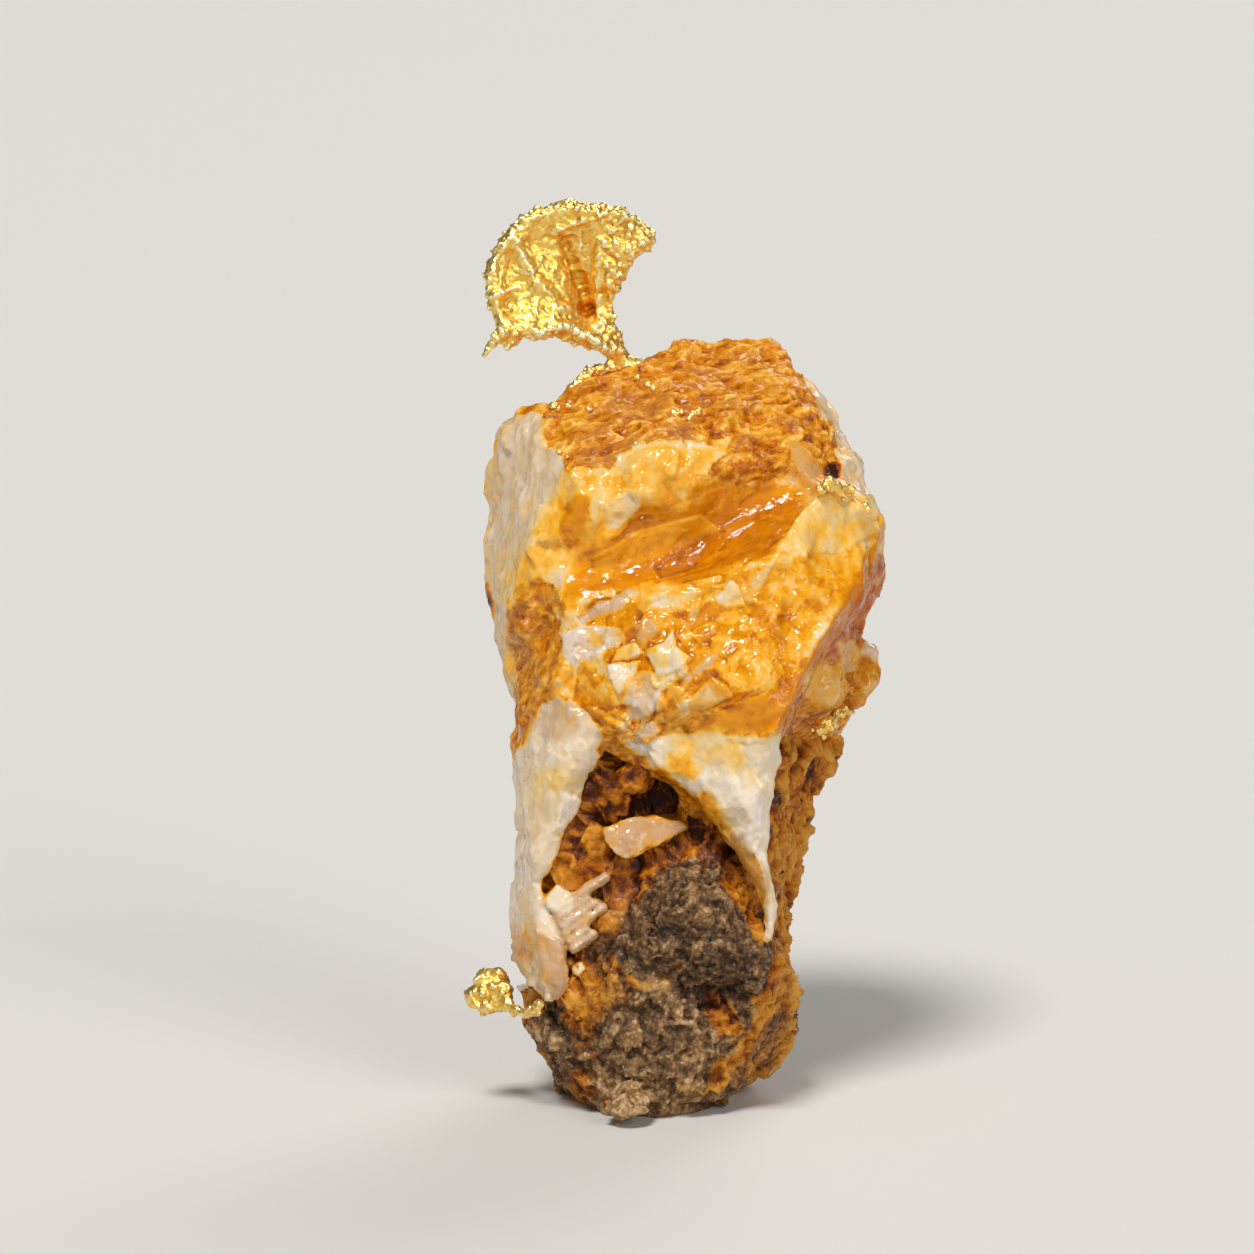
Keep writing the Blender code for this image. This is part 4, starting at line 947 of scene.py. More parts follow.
# %% How the quartz is broken, place by place
SLOPE = math.radians(24)
STAR = spot(-2.1, 24.6, 6)
STAR_POINTS = 2.8
FLAKE_LENGTH = 2.6
FLAKE_DEPTH = 3
RIB_WIDTH = 0.7
RIB_LENGTH = 4.5
UNREST = 0.6


def ridge(place, high):
    """A narrow ridge wherever soft noise crosses zero."""
    return high * (0.5 - abs(noise.noise(place)) * 2)


def growth_ribs(place, high):
    """Upright ribs, a little wavy."""
    straight = Vector((place.x / RIB_WIDTH, place.y / RIB_WIDTH, place.z / RIB_LENGTH))
    return ridge(straight + noise.noise_vector(place / 3.0) * UNREST, high)


def along_slope(place, long, wide):
    """A place measured along and across the slope that falls to the left."""
    along = place.x * math.cos(SLOPE) + place.z * math.sin(SLOPE)
    across = place.z * math.cos(SLOPE) - place.x * math.sin(SLOPE)
    return Vector((along / long, place.y / wide, across / wide))


def wrinkles(place, long, wide, high):
    """Ridges about this long and wide that run down to the left."""
    return ridge(along_slope(place, long, wide) + noise.noise_vector(place / 1.5) * UNREST, high)


def round_star(place):
    """A place measured by its direction and distance from the star, where the long flakes meet."""
    right = place.x - STAR.x
    up = place.z - STAR.z
    turn = math.atan2(up, right) * STAR_POINTS
    return Vector((turn, math.hypot(right, up) / FLAKE_LENGTH, place.y / FLAKE_DEPTH))


print("a rib at the left face stands out by", round(growth_ribs(Vector((-12, 2, 40)), high=0.14), 3), "mm")

# %% [markdown]
# At each place every kind of break has a weight from 0 to 1, and their heights are added by weight. The
# same plates that lift the surface also give it a tone, because each flake took up iron in its own measure.

# %% The relief of the quartz
LEAST_WEIGHT = 0.02


def quartz_break(place, crust, ribs, fan, streaks, facets):
    """How far the surface stands out of the solid in millimetres, and the tone of the flake there."""
    bent = bend(place, wide=1.5, most=0.3)
    plain = 1 - 0.9 * max(facets, streaks)
    height = wave(place, wide=2.2, high=0.05) + plain * plate(bent, wide=0.9, high=0.05)
    tone = plain * plate_tone(bent, wide=0.9)
    if facets > LEAST_WEIGHT:
        height += facets * (plate(bent, wide=0.55, high=0.05) + wave(place, wide=0.4, high=0.03))
    if fan > LEAST_WEIGHT:
        star = round_star(bent)
        height += fan * (plate(star, wide=1, high=0.30) + plate(bent, wide=0.5, high=0.03))
        tone += fan * plate_tone(star, wide=1)
    if streaks > LEAST_WEIGHT:
        sheet = along_slope(bent, long=4.0, wide=1.1)
        height += streaks * (plate(sheet, wide=1, high=0.14) + wrinkles(place, long=1.6, wide=0.4, high=0.02))
        tone += streaks * plate_tone(sheet, wide=1)
    if crust > LEAST_WEIGHT:
        height += crust * wrinkles(place, long=2.4, wide=1.0, high=0.20)
        height += crust * (wrinkles(place, long=0.9, wide=0.4, high=0.06) + wave(place, wide=0.35, high=0.05))
    if ribs > LEAST_WEIGHT:
        height += ribs * growth_ribs(place, high=0.14)
    return height, tone


def weight_of(thing, outlines, seen, edge):
    """1 inside any of the outlines on the front, and 0 outside, over an edge of this width."""
    right, up, _ = as_seen(places_of(thing))
    inside = [share(depth_inside(right, up, outline), -edge, edge) for outline in outlines]
    return np.max(inside, axis=0) * seen


# %% [markdown]
# The steps come in the order in which they hide each other: smooth glass first, then flat faces for each
# kind of break, then relief, and last the swelling under the gold. Each face and plate tints the stain a
# little too, so that shape and colour agree.

# %% Shape and stain the quartz
ZONE_EDGE = 0.5
FACE_TINT = 0.08
PLATE_TINT = 0.09
FLAT_FACES = [
    # kind of break, size of the faces in mm, how far they lean, share of the way to flat
    ("facets", (2.4, 2.4, 2.4), 0.22, 0.9),
    ("facets", (0.9, 0.9, 1.6), 0.24, 0.6),
    ("ribs", (1.3, 1.3, 5.0), 0.20, 0.9),
    ("ribs", (0.8, 0.8, 1.6), 0.25, 0.6),
    ("fan", (1.3, 1.3, 1.3), 0.35, 0.7),
    ("crust", (1.7, 1.7, 1.7), 0.30, 0.5),
]
edges = edges_of(quartz)
put_places(quartz, blur(places_of(quartz), edges, rounds=1))
seen = seen_from_front(quartz, both_copies, rounds=4)
places = places_of(quartz)
stains = lay_stains(quartz, quartz_everywhere(places), QUARTZ_STAINS, seen)
ribs = weight_of(quartz, [LEFT_FACE, LEFT_EDGE], seen, ZONE_EDGE)
fan = weight_of(quartz, [FLAKY_FRONT, STAR_OF_CREASES], seen, ZONE_EDGE)
fan = np.maximum(fan, 0.6 * weight_of(quartz, [MOTTLED_SLOPE], seen, ZONE_EDGE))
streaks = weight_of(quartz, [HONEY_TROUGH], seen, ZONE_EDGE)
smooth_places = [CREAM_BAND, RIGHT_FLAP, LEFT_FLAP, WHITE_SHOULDER, SIDE_FACE, CHIP]
facets = weight_of(quartz, smooth_places, seen, ZONE_EDGE)
facets = np.maximum(facets, 0.7 * (1 - seen) * (1 - stains[:, 1]))

# The trough and the cream band are smooth glass, so the solid's own edges are rubbed out there first.
rubbed = np.maximum(streaks, weight_of(quartz, [CREAM_BAND], seen, ZONE_EDGE))[:, None]
places += rubbed * (blur(places, edges, rounds=40) - places)
put_places(quartz, places)

# Then each kind of break gets its flat faces.
kinds = {"facets": facets, "ribs": ribs, "fan": fan, "crust": stains[:, 1]}
for kind, size, lean, depth in FLAT_FACES:
    move, face_tone = flat_faces(places, normals_of(quartz), size, lean)
    places += move * (depth * kinds[kind])[:, None]
    stains[:, 0] += FACE_TINT * face_tone * kinds[kind]
    put_places(quartz, places)
places = blur(places, edges, rounds=1)
put_places(quartz, places)
broken = np.array([
    quartz_break(Vector(place), *weights)
    for place, weights in zip(places, zip(stains[:, 1], ribs, fan, streaks, facets))])
heights = broken[:, 0] + flake_steps(places, seen)
stains[:, 0] += PLATE_TINT * broken[:, 1] * (0.4 + fan)

# Under the seam of gold the crust swells up to meet it.
SWELL = 0.35
SWELL_REACH = 1.5
gold_tree = tree_of(solids["gold_leaf"])
gaps = np.array([gold_tree.find_nearest(Vector(place), SWELL_REACH)[3] or SWELL_REACH for place in places])
heights += SWELL * share(gaps, 1.4, 0.3)
put_places(quartz, places + normals_of(quartz) * heights[:, None])
print("quartz relief in mm:", round(min(heights), 2), "to", round(max(heights), 2))

# %% [markdown]
# How far a vertex lies below the mean of its surroundings is kept with the stains. Each material uses it
# for painted shade, darker in its creases; the crust, the rock and the gold also use it for a painted
# highlight, paler on ridges, and in the quartz the darker creases are partly iron in the cracks as well.
# The mesh is thinned out only now, because the stains ride along with the vertices that are left.

# %% Hollows of a surface
DEEPEST = 0.12


def hollows_of(thing, rounds):
    """How deep each vertex lies below its surroundings, in millimetres; below 0 on ridges."""
    now = places_of(thing)
    smooth = blur(now, edges_of(thing), rounds)
    return np.clip(((smooth - now) * normals_of(thing)).sum(axis=1), -DEEPEST, DEEPEST)


keep_values(quartz, **dict(zip(STAIN_NAMES, stains.T)), hollow=hollows_of(quartz, rounds=8))
quartz_tree = tree_of(quartz)
thin_out(quartz, STONE_TRIANGLES)

# %% [markdown]
# Faces smaller than the mesh can hold are left to the material. Each cell of a pattern leans a flat
# height its own way, and the cell's number tints it.

# %% Small flat faces in a material


def small_faces(tree, where, size):
    """A tone for each small flat face of this many millimetres, and a height that leans it, in metres."""
    wobble = add_node(
        tree, "ShaderNodeTexNoise", {"Scale": pattern_scale(size * 1.5), "Detail": 2.0}, {"Vector": where})
    place = add_node(
        tree, "ShaderNodeVectorMath", {"operation": "MULTIPLY_ADD", 1: (size * MM,) * 3},
        {0: wobble.outputs["Color"], 2: where}).outputs["Vector"]
    cells = add_node(tree, "ShaderNodeTexVoronoi", {"Scale": pattern_scale(size)}, {"Vector": place})
    from_middle = add_node(
        tree, "ShaderNodeVectorMath", {"operation": "SUBTRACT"},
        {0: place, 1: cells.outputs["Position"]}).outputs["Vector"]
    lean = add_node(
        tree, "ShaderNodeVectorMath", {"operation": "SUBTRACT", 1: (0.5, 0.5, 0.5)},
        {0: cells.outputs["Color"]}).outputs["Vector"]
    height = add_node(
        tree, "ShaderNodeVectorMath", {"operation": "DOT_PRODUCT"},
        {0: from_middle, 1: lean}).outputs["Value"]
    tone = add_node(tree, "ShaderNodeSeparateColor", links={0: cells.outputs["Color"]}).outputs[0]
    return tone, height


# %% [markdown]
# ## Milky quartz, stained by iron
# Vein quartz is milky, because it is full of tiny bubbles: light goes a millimetre or so into it and
# comes back softened. The eye sees a glassy skin over a soft body. Quartz has an IOR of 1.54. Where iron
# water soaked it, it turns cream, honey and amber, and where the oxide lies on it as a crust, it is rough
# and orange-brown. A mix of two finished shaders could part stone and crust, but one shader with mixed
# values keeps the edge between them as crisp as the stain.

# %% The colours of the quartz and of its stains
# White quartz, then cream, honey and amber, and the red-brown of thick iron oxide.
QUARTZ_COLOURS = [
    (0.0, "#E8DCCC"), (0.16, "#E0CAA4"), (0.28, "#EBC578"), (0.38, "#EEB23E"), (0.50, "#E69C0C"),
    (0.64, "#CC7800"), (0.82, "#A05004"), (1.0, "#3E160A")]
FLESHY_HAZE = "#D2A688"


def stained_body(tree, where, iron, mottle, pink, hollow, face_tone):
    """The colour of the quartz: its stain is patchy, and darker in the creases, partly as iron in the cracks
    and partly as painted shade.
    """
    # Patches of a stain are about 1.4 mm wide and break up into finer ones.
    patches = add_node(
        tree, "ShaderNodeTexNoise",
        {"Scale": pattern_scale(1.4), "Detail": 7.0, "Roughness": 0.66, "Distortion": 0.6},
        {"Vector": where}).outputs["Fac"]
    patchy = add_node(
        tree, "ShaderNodeMath", {"operation": "MULTIPLY_ADD", 1: 1.3, 2: -0.8}, {0: patches}).outputs[0]
    unrest = add_node(
        tree, "ShaderNodeMath", {"operation": "MULTIPLY_ADD", 1: 0.3}, {0: face_tone, 2: patchy}).outputs[0]
    stain = add_node(
        tree, "ShaderNodeMath", {"operation": "MULTIPLY_ADD"}, {0: unrest, 1: mottle, 2: iron}).outputs[0]
    # Creases take more stain: partly iron in the cracks, partly painted shade.
    crease = add_node(tree, "ShaderNodeMath", {"operation": "MAXIMUM", 1: 0.0}, {0: hollow}).outputs[0]
    deeper = add_node(
        tree, "ShaderNodeMath", {"operation": "MULTIPLY_ADD", 1: 3.0, 2: 1.0}, {0: crease}).outputs[0]
    sunk = add_node(tree, "ShaderNodeMath", {"operation": "MULTIPLY"}, {0: stain, 1: deeper}).outputs[0]
    body = add_node(tree, "ShaderNodeValToRGB", {"stops": QUARTZ_COLOURS}, {"Fac": sunk}).outputs["Color"]
    haze = add_node(tree, "ShaderNodeMath", {"operation": "MULTIPLY", 1: 0.75}, {0: pink}).outputs[0]
    return add_node(
        tree, "ShaderNodeMix", {"data_type": "RGBA", "blend_type": "MULTIPLY", 7: linear(FLESHY_HAZE)},
        {0: haze, 6: body}).outputs[2]


# %% [markdown]
# The crust is goethite, an earthy oxide that ran down the slope and dried in streaks. Its colour is drawn
# out three times as long down the slope as across it.

# %% The colours of the crust of iron oxide
CRUST_COLOURS = [
    (0.30, "#8A4202"), (0.44, "#BA6404"), (0.58, "#D2820A"), (0.72, "#E4A02C"), (0.88, "#F4C266")]
CRUST_TAN = "#B47038"
STREAK = (3, 1, 1)


def oxide_crust(tree, where, hollow, grain_tone):
    """Deep orange to straw, drawn out down the slope, with drifts of a purplish tan."""
    down_slope = add_node(
        tree, "ShaderNodeMapping", {"vector_type": "TEXTURE", "Rotation": (0, -SLOPE, 0), "Scale": STREAK},
        {"Vector": where}).outputs["Vector"]
    drifts = add_node(
        tree, "ShaderNodeTexNoise",
        {"Scale": pattern_scale(1.6), "Detail": 5.0, "Roughness": 0.6, "Distortion": 0.8},
        {"Vector": down_slope}).outputs["Fac"]
    streaky = add_node(
        tree, "ShaderNodeTexNoise",
        {"Scale": pattern_scale(0.8), "Detail": 6.0, "Roughness": 0.65, "Distortion": 0.5},
        {"Vector": down_slope}).outputs["Fac"]
    ground = add_node(
        tree, "ShaderNodeMath", {"operation": "MULTIPLY_ADD", 1: 1.5, 2: -0.23}, {0: streaky}).outputs[0]
    grained = add_node(
        tree, "ShaderNodeMath", {"operation": "MULTIPLY_ADD", 1: 0.14}, {0: grain_tone, 2: ground}).outputs[0]
    # Painted shade darkens the crust in its hollows, and a painted highlight makes it paler on ridges.
    sunk = add_node(
        tree, "ShaderNodeMath", {"operation": "MULTIPLY_ADD", 1: -1.2}, {0: hollow, 2: grained}).outputs[0]
    orange = add_node(tree, "ShaderNodeValToRGB", {"stops": CRUST_COLOURS}, {"Fac": sunk}).outputs["Color"]
    tan_share = add_node(
        tree, "ShaderNodeMapRange", {"From Min": 0.50, "From Max": 0.64, "To Max": 0.6},
        {"Value": drifts}).outputs["Result"]
    return add_node(
        tree, "ShaderNodeMix", {"data_type": "RGBA", 7: linear(CRUST_TAN)},
        {0: tan_share, 6: orange}).outputs[2]


# %% The material of the quartz
QUARTZ_IOR = 1.54


def quartz_material():
    """Glassy milky quartz, hidden by rough oxide where the crust lies on it."""
    material, tree, where, iron, crust, mottle, pink, hollow = new_material(
        "milky quartz with iron stains", *STAIN_NAMES, "hollow")
    fine = add_node(
        tree, "ShaderNodeTexNoise",
        {"Scale": pattern_scale(0.35), "Detail": 4.0, "Roughness": 0.6}, {"Vector": where}).outputs["Fac"]
    # Small flat faces, about 0.6 mm wide: each leans its own way and took the stain a little differently.
    face_tone, face_height = small_faces(tree, where, 0.6)
    # The crust has grains about 0.3 mm wide.
    grains = add_node(tree, "ShaderNodeTexVoronoi", {"Scale": pattern_scale(0.32)}, {"Vector": where})
    grain_tone = add_node(tree, "ShaderNodeSeparateColor", links={0: grains.outputs["Color"]}).outputs[1]

    # The edge of the crust is crisp: a grain is either covered or it is not.
    reach = add_node(
        tree, "ShaderNodeMath", {"operation": "MULTIPLY_ADD", 1: 0.5}, {0: fine, 2: crust}).outputs[0]
    covered = add_node(
        tree, "ShaderNodeMapRange", {"From Min": 0.67, "From Max": 0.79}, {"Value": reach}).outputs["Result"]
    colour = add_node(
        tree, "ShaderNodeMix", {"data_type": "RGBA"},
        {0: covered, 6: stained_body(tree, where, iron, mottle, pink, hollow, face_tone),
         7: oxide_crust(tree, where, hollow, grain_tone)}).outputs[2]
    gloss = add_node(
        tree, "ShaderNodeMapRange", {"From Min": 0.3, "From Max": 0.7, "To Min": 0.06, "To Max": 0.24},
        {"Value": fine}).outputs["Result"]
    roughness = add_node(
        tree, "ShaderNodeMath", {"operation": "MULTIPLY_ADD", 1: 0.12}, {0: covered, 2: gloss}).outputs[0]

    # Three layers of relief: the small flat faces, a fine grain, and the grains of the crust.
    flakiness = add_node(
        tree, "ShaderNodeMath", {"operation": "MULTIPLY_ADD", 1: 0.9, 2: 0.12}, {0: mottle}).outputs[0]
    faceted = add_node(
        tree, "ShaderNodeBump", {"Distance": 1.0}, {"Height": face_height, "Strength": flakiness})
    low_relief = add_node(
        tree, "ShaderNodeBump", {"Strength": 0.3, "Distance": 0.03 * MM},
        {"Height": fine, "Normal": faceted.outputs["Normal"]})
    crust_grains = add_node(
        tree, "ShaderNodeMath", {"operation": "MULTIPLY"}, {0: grain_tone, 1: covered}).outputs[0]
    relief = add_node(
        tree, "ShaderNodeBump", {"Strength": 0.4, "Distance": 0.05 * MM},
        {"Height": crust_grains, "Normal": low_relief.outputs["Normal"]})

    # A stained skin is finely etched and reflects less than clean quartz, and earthy oxide less still.
    shine = add_node(
        tree, "ShaderNodeMath", {"operation": "MULTIPLY_ADD", 1: -0.1, 2: 0.3}, {0: covered}).outputs[0]
    shader = add_node(
        tree, "ShaderNodeBsdfPrincipled",
        {"IOR": QUARTZ_IOR, "Subsurface Weight": 0.2, "Subsurface Radius": (1.0, 0.7, 0.4),
         "Subsurface Scale": 0.7 * MM},
        {"Base Color": colour, "Roughness": roughness, "Normal": relief.outputs["Normal"],
         "Specular IOR Level": shine})
    add_node(tree, "ShaderNodeOutputMaterial", links={"Surface": shader.outputs["BSDF"]})
    return material


# %% [markdown]
# Each finished piece takes the place of its solid and rides on the one body that there is.

# %% Dress a piece


def dress(piece, material, node_name=None):
    """Gives a piece its material, and puts it in place of its solid where it has one."""
    piece.data.materials.clear()
    piece.data.materials.append(material)
    piece.data.shade_smooth()
    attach(piece, "root")
    if node_name:
        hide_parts(node_name)
    print(piece.name, "triangles:", triangle_count(piece))


stained_quartz = quartz_material()
print("nodes in the material of the quartz:", len(stained_quartz.node_tree.nodes))
dress(quartz, stained_quartz, "quartz")

# %% [markdown]
# Two numbers are enough here. `rust` runs from 0, grey host rock, to 1, orange oxide, and `pale` says how
# far the grains are bleached to tan.

# %% The stains of the wall rock, in the order they are laid
ROCK_STAINS = [
    # outline, width of its edge, rust, pale
    (RUSTY_RECESS, 0.5, 0.85, -0.4),
    # painted shade under the middle of the quartz
    (SHADE_PAINTED_UNDER_THE_STAR, 1.0, 0.9, -0.9),
    (ORANGE_IN_RECESS, 0.8, 0.95, 0.3),
    (ORANGE_BY_THE_FLAP, 0.6, 0.95, 0.2),
    (OLIVE_ROCK, 1.0, 0.5, -0.3),
    (GREY_FOOT, 0.8, 0.22, 0.45),
    (TAN_ROCK, 1.2, 0.53, 0.2),
    (GREY_PROW, 0.4, 0.0, 0.15),
    (DARK_OF_PROW, 1.5, 0.05, 0.0),
    (SHADE_UNDER_PROW, 0.5, 0.15, -0.4),
    (AMBER_POCKET, 0.3, 0.95, 0),
    (RUSTY_BAND, 0.4, 0.9, 0.3),
    (RUSTY_STRIP, 0.5, 0.9, 0.35),
    (LOW_RIGHT_LUMP, 0.8, 0.55, 0.5),
    (BROWN_SLAB, 0.3, 0.25, 0.4),
    (GREY_BLADE, 0.3, 0.0, 0.7),
    (PINK_CRYSTALS, 0.3, 0.1, 1),
    (AMBER_BUMP, 0.4, 0.7, 0.1),
    (FOOT_FLAKE, 0.4, 0.25, 1.0),
]


def rock_everywhere(places):
    """Rust and bleaching for the sides and the back of the wall rock."""
    rust = 0.2 + 0.65 * share(ragged(places, 4.5, shift=2), -0.35, 0.35)
    pale = 0.5 * share(ragged(places, 3.0, shift=9), 0.0, 0.6)
    return np.stack([rust, pale], axis=1)


def rock_height(place, rust):
    """How far the surface stands out of the solid at a place, in millimetres."""
    bent = bend(place, wide=1.2, most=0.3)
    height = plate(bent, wide=3.2, high=0.30) + rust * wave(place, wide=0.8, high=0.12)
    height += plate(bent, wide=1.1, high=0.20) + plate(place, wide=0.5, high=0.08)
    grains = crystal_grain(bent, wide=0.36, high=0.03) + wave(place, wide=0.22, high=0.05)
    height += (1 - 0.4 * rust) * grains
    return height


def pull_together(thing, neighbour, start, end, sink):
    """Draws vertices that lie closer than start to the neighbour into it by sink, all in millimetres."""
    places = places_of(thing)
    for index, place in enumerate(places):
        touch, _, _, distance = neighbour.find_nearest(Vector(place), start)
        if touch is None or distance < 1e-6:
            continue
        inwards = np.array(touch) - place
        pull = share(distance, start, end)
        places[index] = place + inwards * (1 + sink / distance) * pull
    put_places(thing, places)


# %% [markdown]
# The rock breaks in blunt lumps of 1 to 4 mm, with plates and grains on them. Its foot stays flat, because
# the specimen rests on it. Where it comes close to the quartz it is drawn in under it, so that no gap
# shows between two stones that have grown together.

# %% Shape and stain the wall rock
FLAP_EDGE = -9.0
FLAP_FOOT = 5.5
FLAP_HEAD = 28.0
TUCKED_IN = 1.3
ROCK_FACES = [
    # size of the faces in mm, how far they lean, share of the way to flat
    (3.6, 0.30, 0.9),
    (1.5, 0.45, 0.85),
]
put_places(rock, blur(places_of(rock), edges_of(rock), rounds=1))
seen = seen_from_front(rock, both_copies, rounds=4)
places = places_of(rock)
rock_stains = lay_stains(rock, rock_everywhere(places), ROCK_STAINS, seen)
free = share(places[:, 2], 0.15, 0.8) * (1 - weight_of(rock, [PRISM_BUNDLE], seen, ZONE_EDGE))
for size, lean, depth in ROCK_FACES:
    places += depth * free[:, None] * flat_faces(places, normals_of(rock), size, lean)[0]
    put_places(rock, places)
heights = [rock_height(Vector(place), rust) for place, rust in zip(places, rock_stains[:, 0])]
moved = places + normals_of(rock) * (heights * free)[:, None]
moved[:, 2] = np.maximum(moved[:, 2], 0.0)
# The rock keeps behind the edge of the left flap, which is all that shows there.
tuck = share(moved[:, 0], FLAP_EDGE, FLAP_EDGE - 1.5)
tuck *= share(moved[:, 2], FLAP_FOOT, FLAP_FOOT + 2.5) * share(moved[:, 2], FLAP_HEAD, FLAP_HEAD - 3.0)
moved[:, 0] += TUCKED_IN * tuck
put_places(rock, moved)
pull_together(rock, quartz_tree, start=0.95, end=0.6, sink=0.12)
keep_values(rock, rust=rock_stains[:, 0], pale=rock_stains[:, 1], hollow=hollows_of(rock, rounds=8))
thin_out(rock, STONE_TRIANGLES)
print("wall rock relief in mm:", round(min(heights), 2), "to", round(max(heights), 2))

# %% [markdown]
# ## Wall rock
# The host is a fine-grained greywacke or schist, dull and open-pored: light grains of quartz and feldspar
# in a dark matrix, about 0.4 mm across, with an IOR near 1.5. It has no gloss of its own apart from the
# odd bright grain. The rust is goethite, an earthy orange-brown. Both are darker in the pits, which is
# painted shade, and paler on the ridges, a painted highlight.

# %% The grains of the wall rock
ROCK_IOR = 1.5
STONE_COLOURS = [
    (0.22, "#1E1308"), (0.40, "#4A341F"), (0.55, "#705233"), (0.68, "#947048"), (0.86, "#C4A276")]
RUST_COLOURS = [
    (0.46, "#3E1A02"), (0.60, "#783A02"), (0.74, "#A86008"), (0.88, "#C27C18"), (1.0, "#CC9236")]


def rock_grains(tree, where, drift):
    """A tone of light grains and dark pores, a number for each grain, and how far its middle is."""
    # The grains are about 0.3 mm wide, and the crags on which they lie about 0.9 mm.
    wobble = add_node(
        tree, "ShaderNodeTexNoise", {"Scale": pattern_scale(0.5), "Detail": 3.0}, {"Vector": where})
    bent = add_node(
        tree, "ShaderNodeVectorMath", {"operation": "MULTIPLY_ADD", 1: (0.5 * MM,) * 3},
        {0: wobble.outputs["Color"], 2: where}).outputs["Vector"]
    grains = add_node(tree, "ShaderNodeTexVoronoi", {"Scale": pattern_scale(0.3)}, {"Vector": bent})
    number = add_node(tree, "ShaderNodeSeparateColor", links={0: grains.outputs["Color"]}).outputs[0]
    crags = add_node(
        tree, "ShaderNodeTexNoise", {"Scale": pattern_scale(0.9), "Detail": 6.0, "Roughness": 0.6},
        {"Vector": where}).outputs["Fac"]
    ground = add_node(
        tree, "ShaderNodeMath", {"operation": "MULTIPLY_ADD", 1: 0.6, 2: -0.05}, {0: drift}).outputs[0]
    craggy = add_node(
        tree, "ShaderNodeMath", {"operation": "MULTIPLY_ADD", 1: 0.5}, {0: crags, 2: ground}).outputs[0]
    grained = add_node(
        tree, "ShaderNodeMath", {"operation": "MULTIPLY_ADD", 1: 0.16}, {0: number, 2: craggy}).outputs[0]
    tone = add_node(
        tree, "ShaderNodeMath", {"operation": "MULTIPLY_ADD", 1: -0.28},
        {0: grains.outputs["Distance"], 2: grained}).outputs[0]
    return tone, number, grains.outputs["Distance"]


# %% The material of the wall rock


def rock_material():
    """Dull grey-brown grains, hidden by orange oxide where rust has spread."""
    material, tree, where, rust, pale, hollow = new_material(
        "granular wall rock with rust", "rust", "pale", "hollow")
    drift = add_node(
        tree, "ShaderNodeTexNoise",
        {"Scale": pattern_scale(2.4), "Detail": 4.0, "Roughness": 0.55, "Distortion": 0.6},
        {"Vector": where}).outputs["Fac"]
    tone, number, distance = rock_grains(tree, where, drift)

    # Both colours are lighter where the grains are bleached. Painted shade makes them darker in the pits, and
    # a painted highlight paler on the ridges.
    rust_tone = add_node(
        tree, "ShaderNodeMath", {"operation": "MULTIPLY_ADD", 1: 0.5}, {0: tone, 2: drift}).outputs[0]
    colours = []
    for start, bleach, dark, stops in (
            (tone, 0.3, -1.2, STONE_COLOURS), (rust_tone, 0.25, -1.4, RUST_COLOURS)):
        light = add_node(
            tree, "ShaderNodeMath", {"operation": "MULTIPLY_ADD", 1: bleach}, {0: pale, 2: start}).outputs[0]
        lit = add_node(
            tree, "ShaderNodeMath", {"operation": "MULTIPLY_ADD", 1: dark}, {0: hollow, 2: light}).outputs[0]
        colours.append(add_node(tree, "ShaderNodeValToRGB", {"stops": stops}, {"Fac": lit}).outputs["Color"])
    reach = add_node(
        tree, "ShaderNodeMath", {"operation": "MULTIPLY_ADD", 1: 0.9}, {0: drift, 2: rust}).outputs[0]
    rusted = add_node(
        tree, "ShaderNodeMapRange", {"From Min": 0.75, "From Max": 1.07}, {"Value": reach}).outputs["Result"]
    colour = add_node(
        tree, "ShaderNodeMix", {"data_type": "RGBA"}, {0: rusted, 6: colours[0], 7: colours[1]}).outputs[2]

    roughness = add_node(
        tree, "ShaderNodeMapRange", {"To Min": 0.7, "To Max": 0.3}, {"Value": number}).outputs["Result"]
    roundness = add_node(
        tree, "ShaderNodeMapRange", {"To Min": 0.45, "To Max": 0.25}, {"Value": rusted}).outputs["Result"]
    relief = add_node(
        tree, "ShaderNodeBump", {"Distance": -0.12 * MM}, {"Height": distance, "Strength": roundness})
    shader = add_node(
        tree, "ShaderNodeBsdfPrincipled", {"IOR": ROCK_IOR, "Specular IOR Level": 0.2},
        {"Base Color": colour, "Roughness": roughness, "Normal": relief.outputs["Normal"]})
    add_node(tree, "ShaderNodeOutputMaterial", links={"Surface": shader.outputs["BSDF"]})
    return material


rusty_rock = rock_material()
print("nodes in the material of the wall rock:", len(rusty_rock.node_tree.nodes))
dress(rock, rusty_rock, "wall_rock")
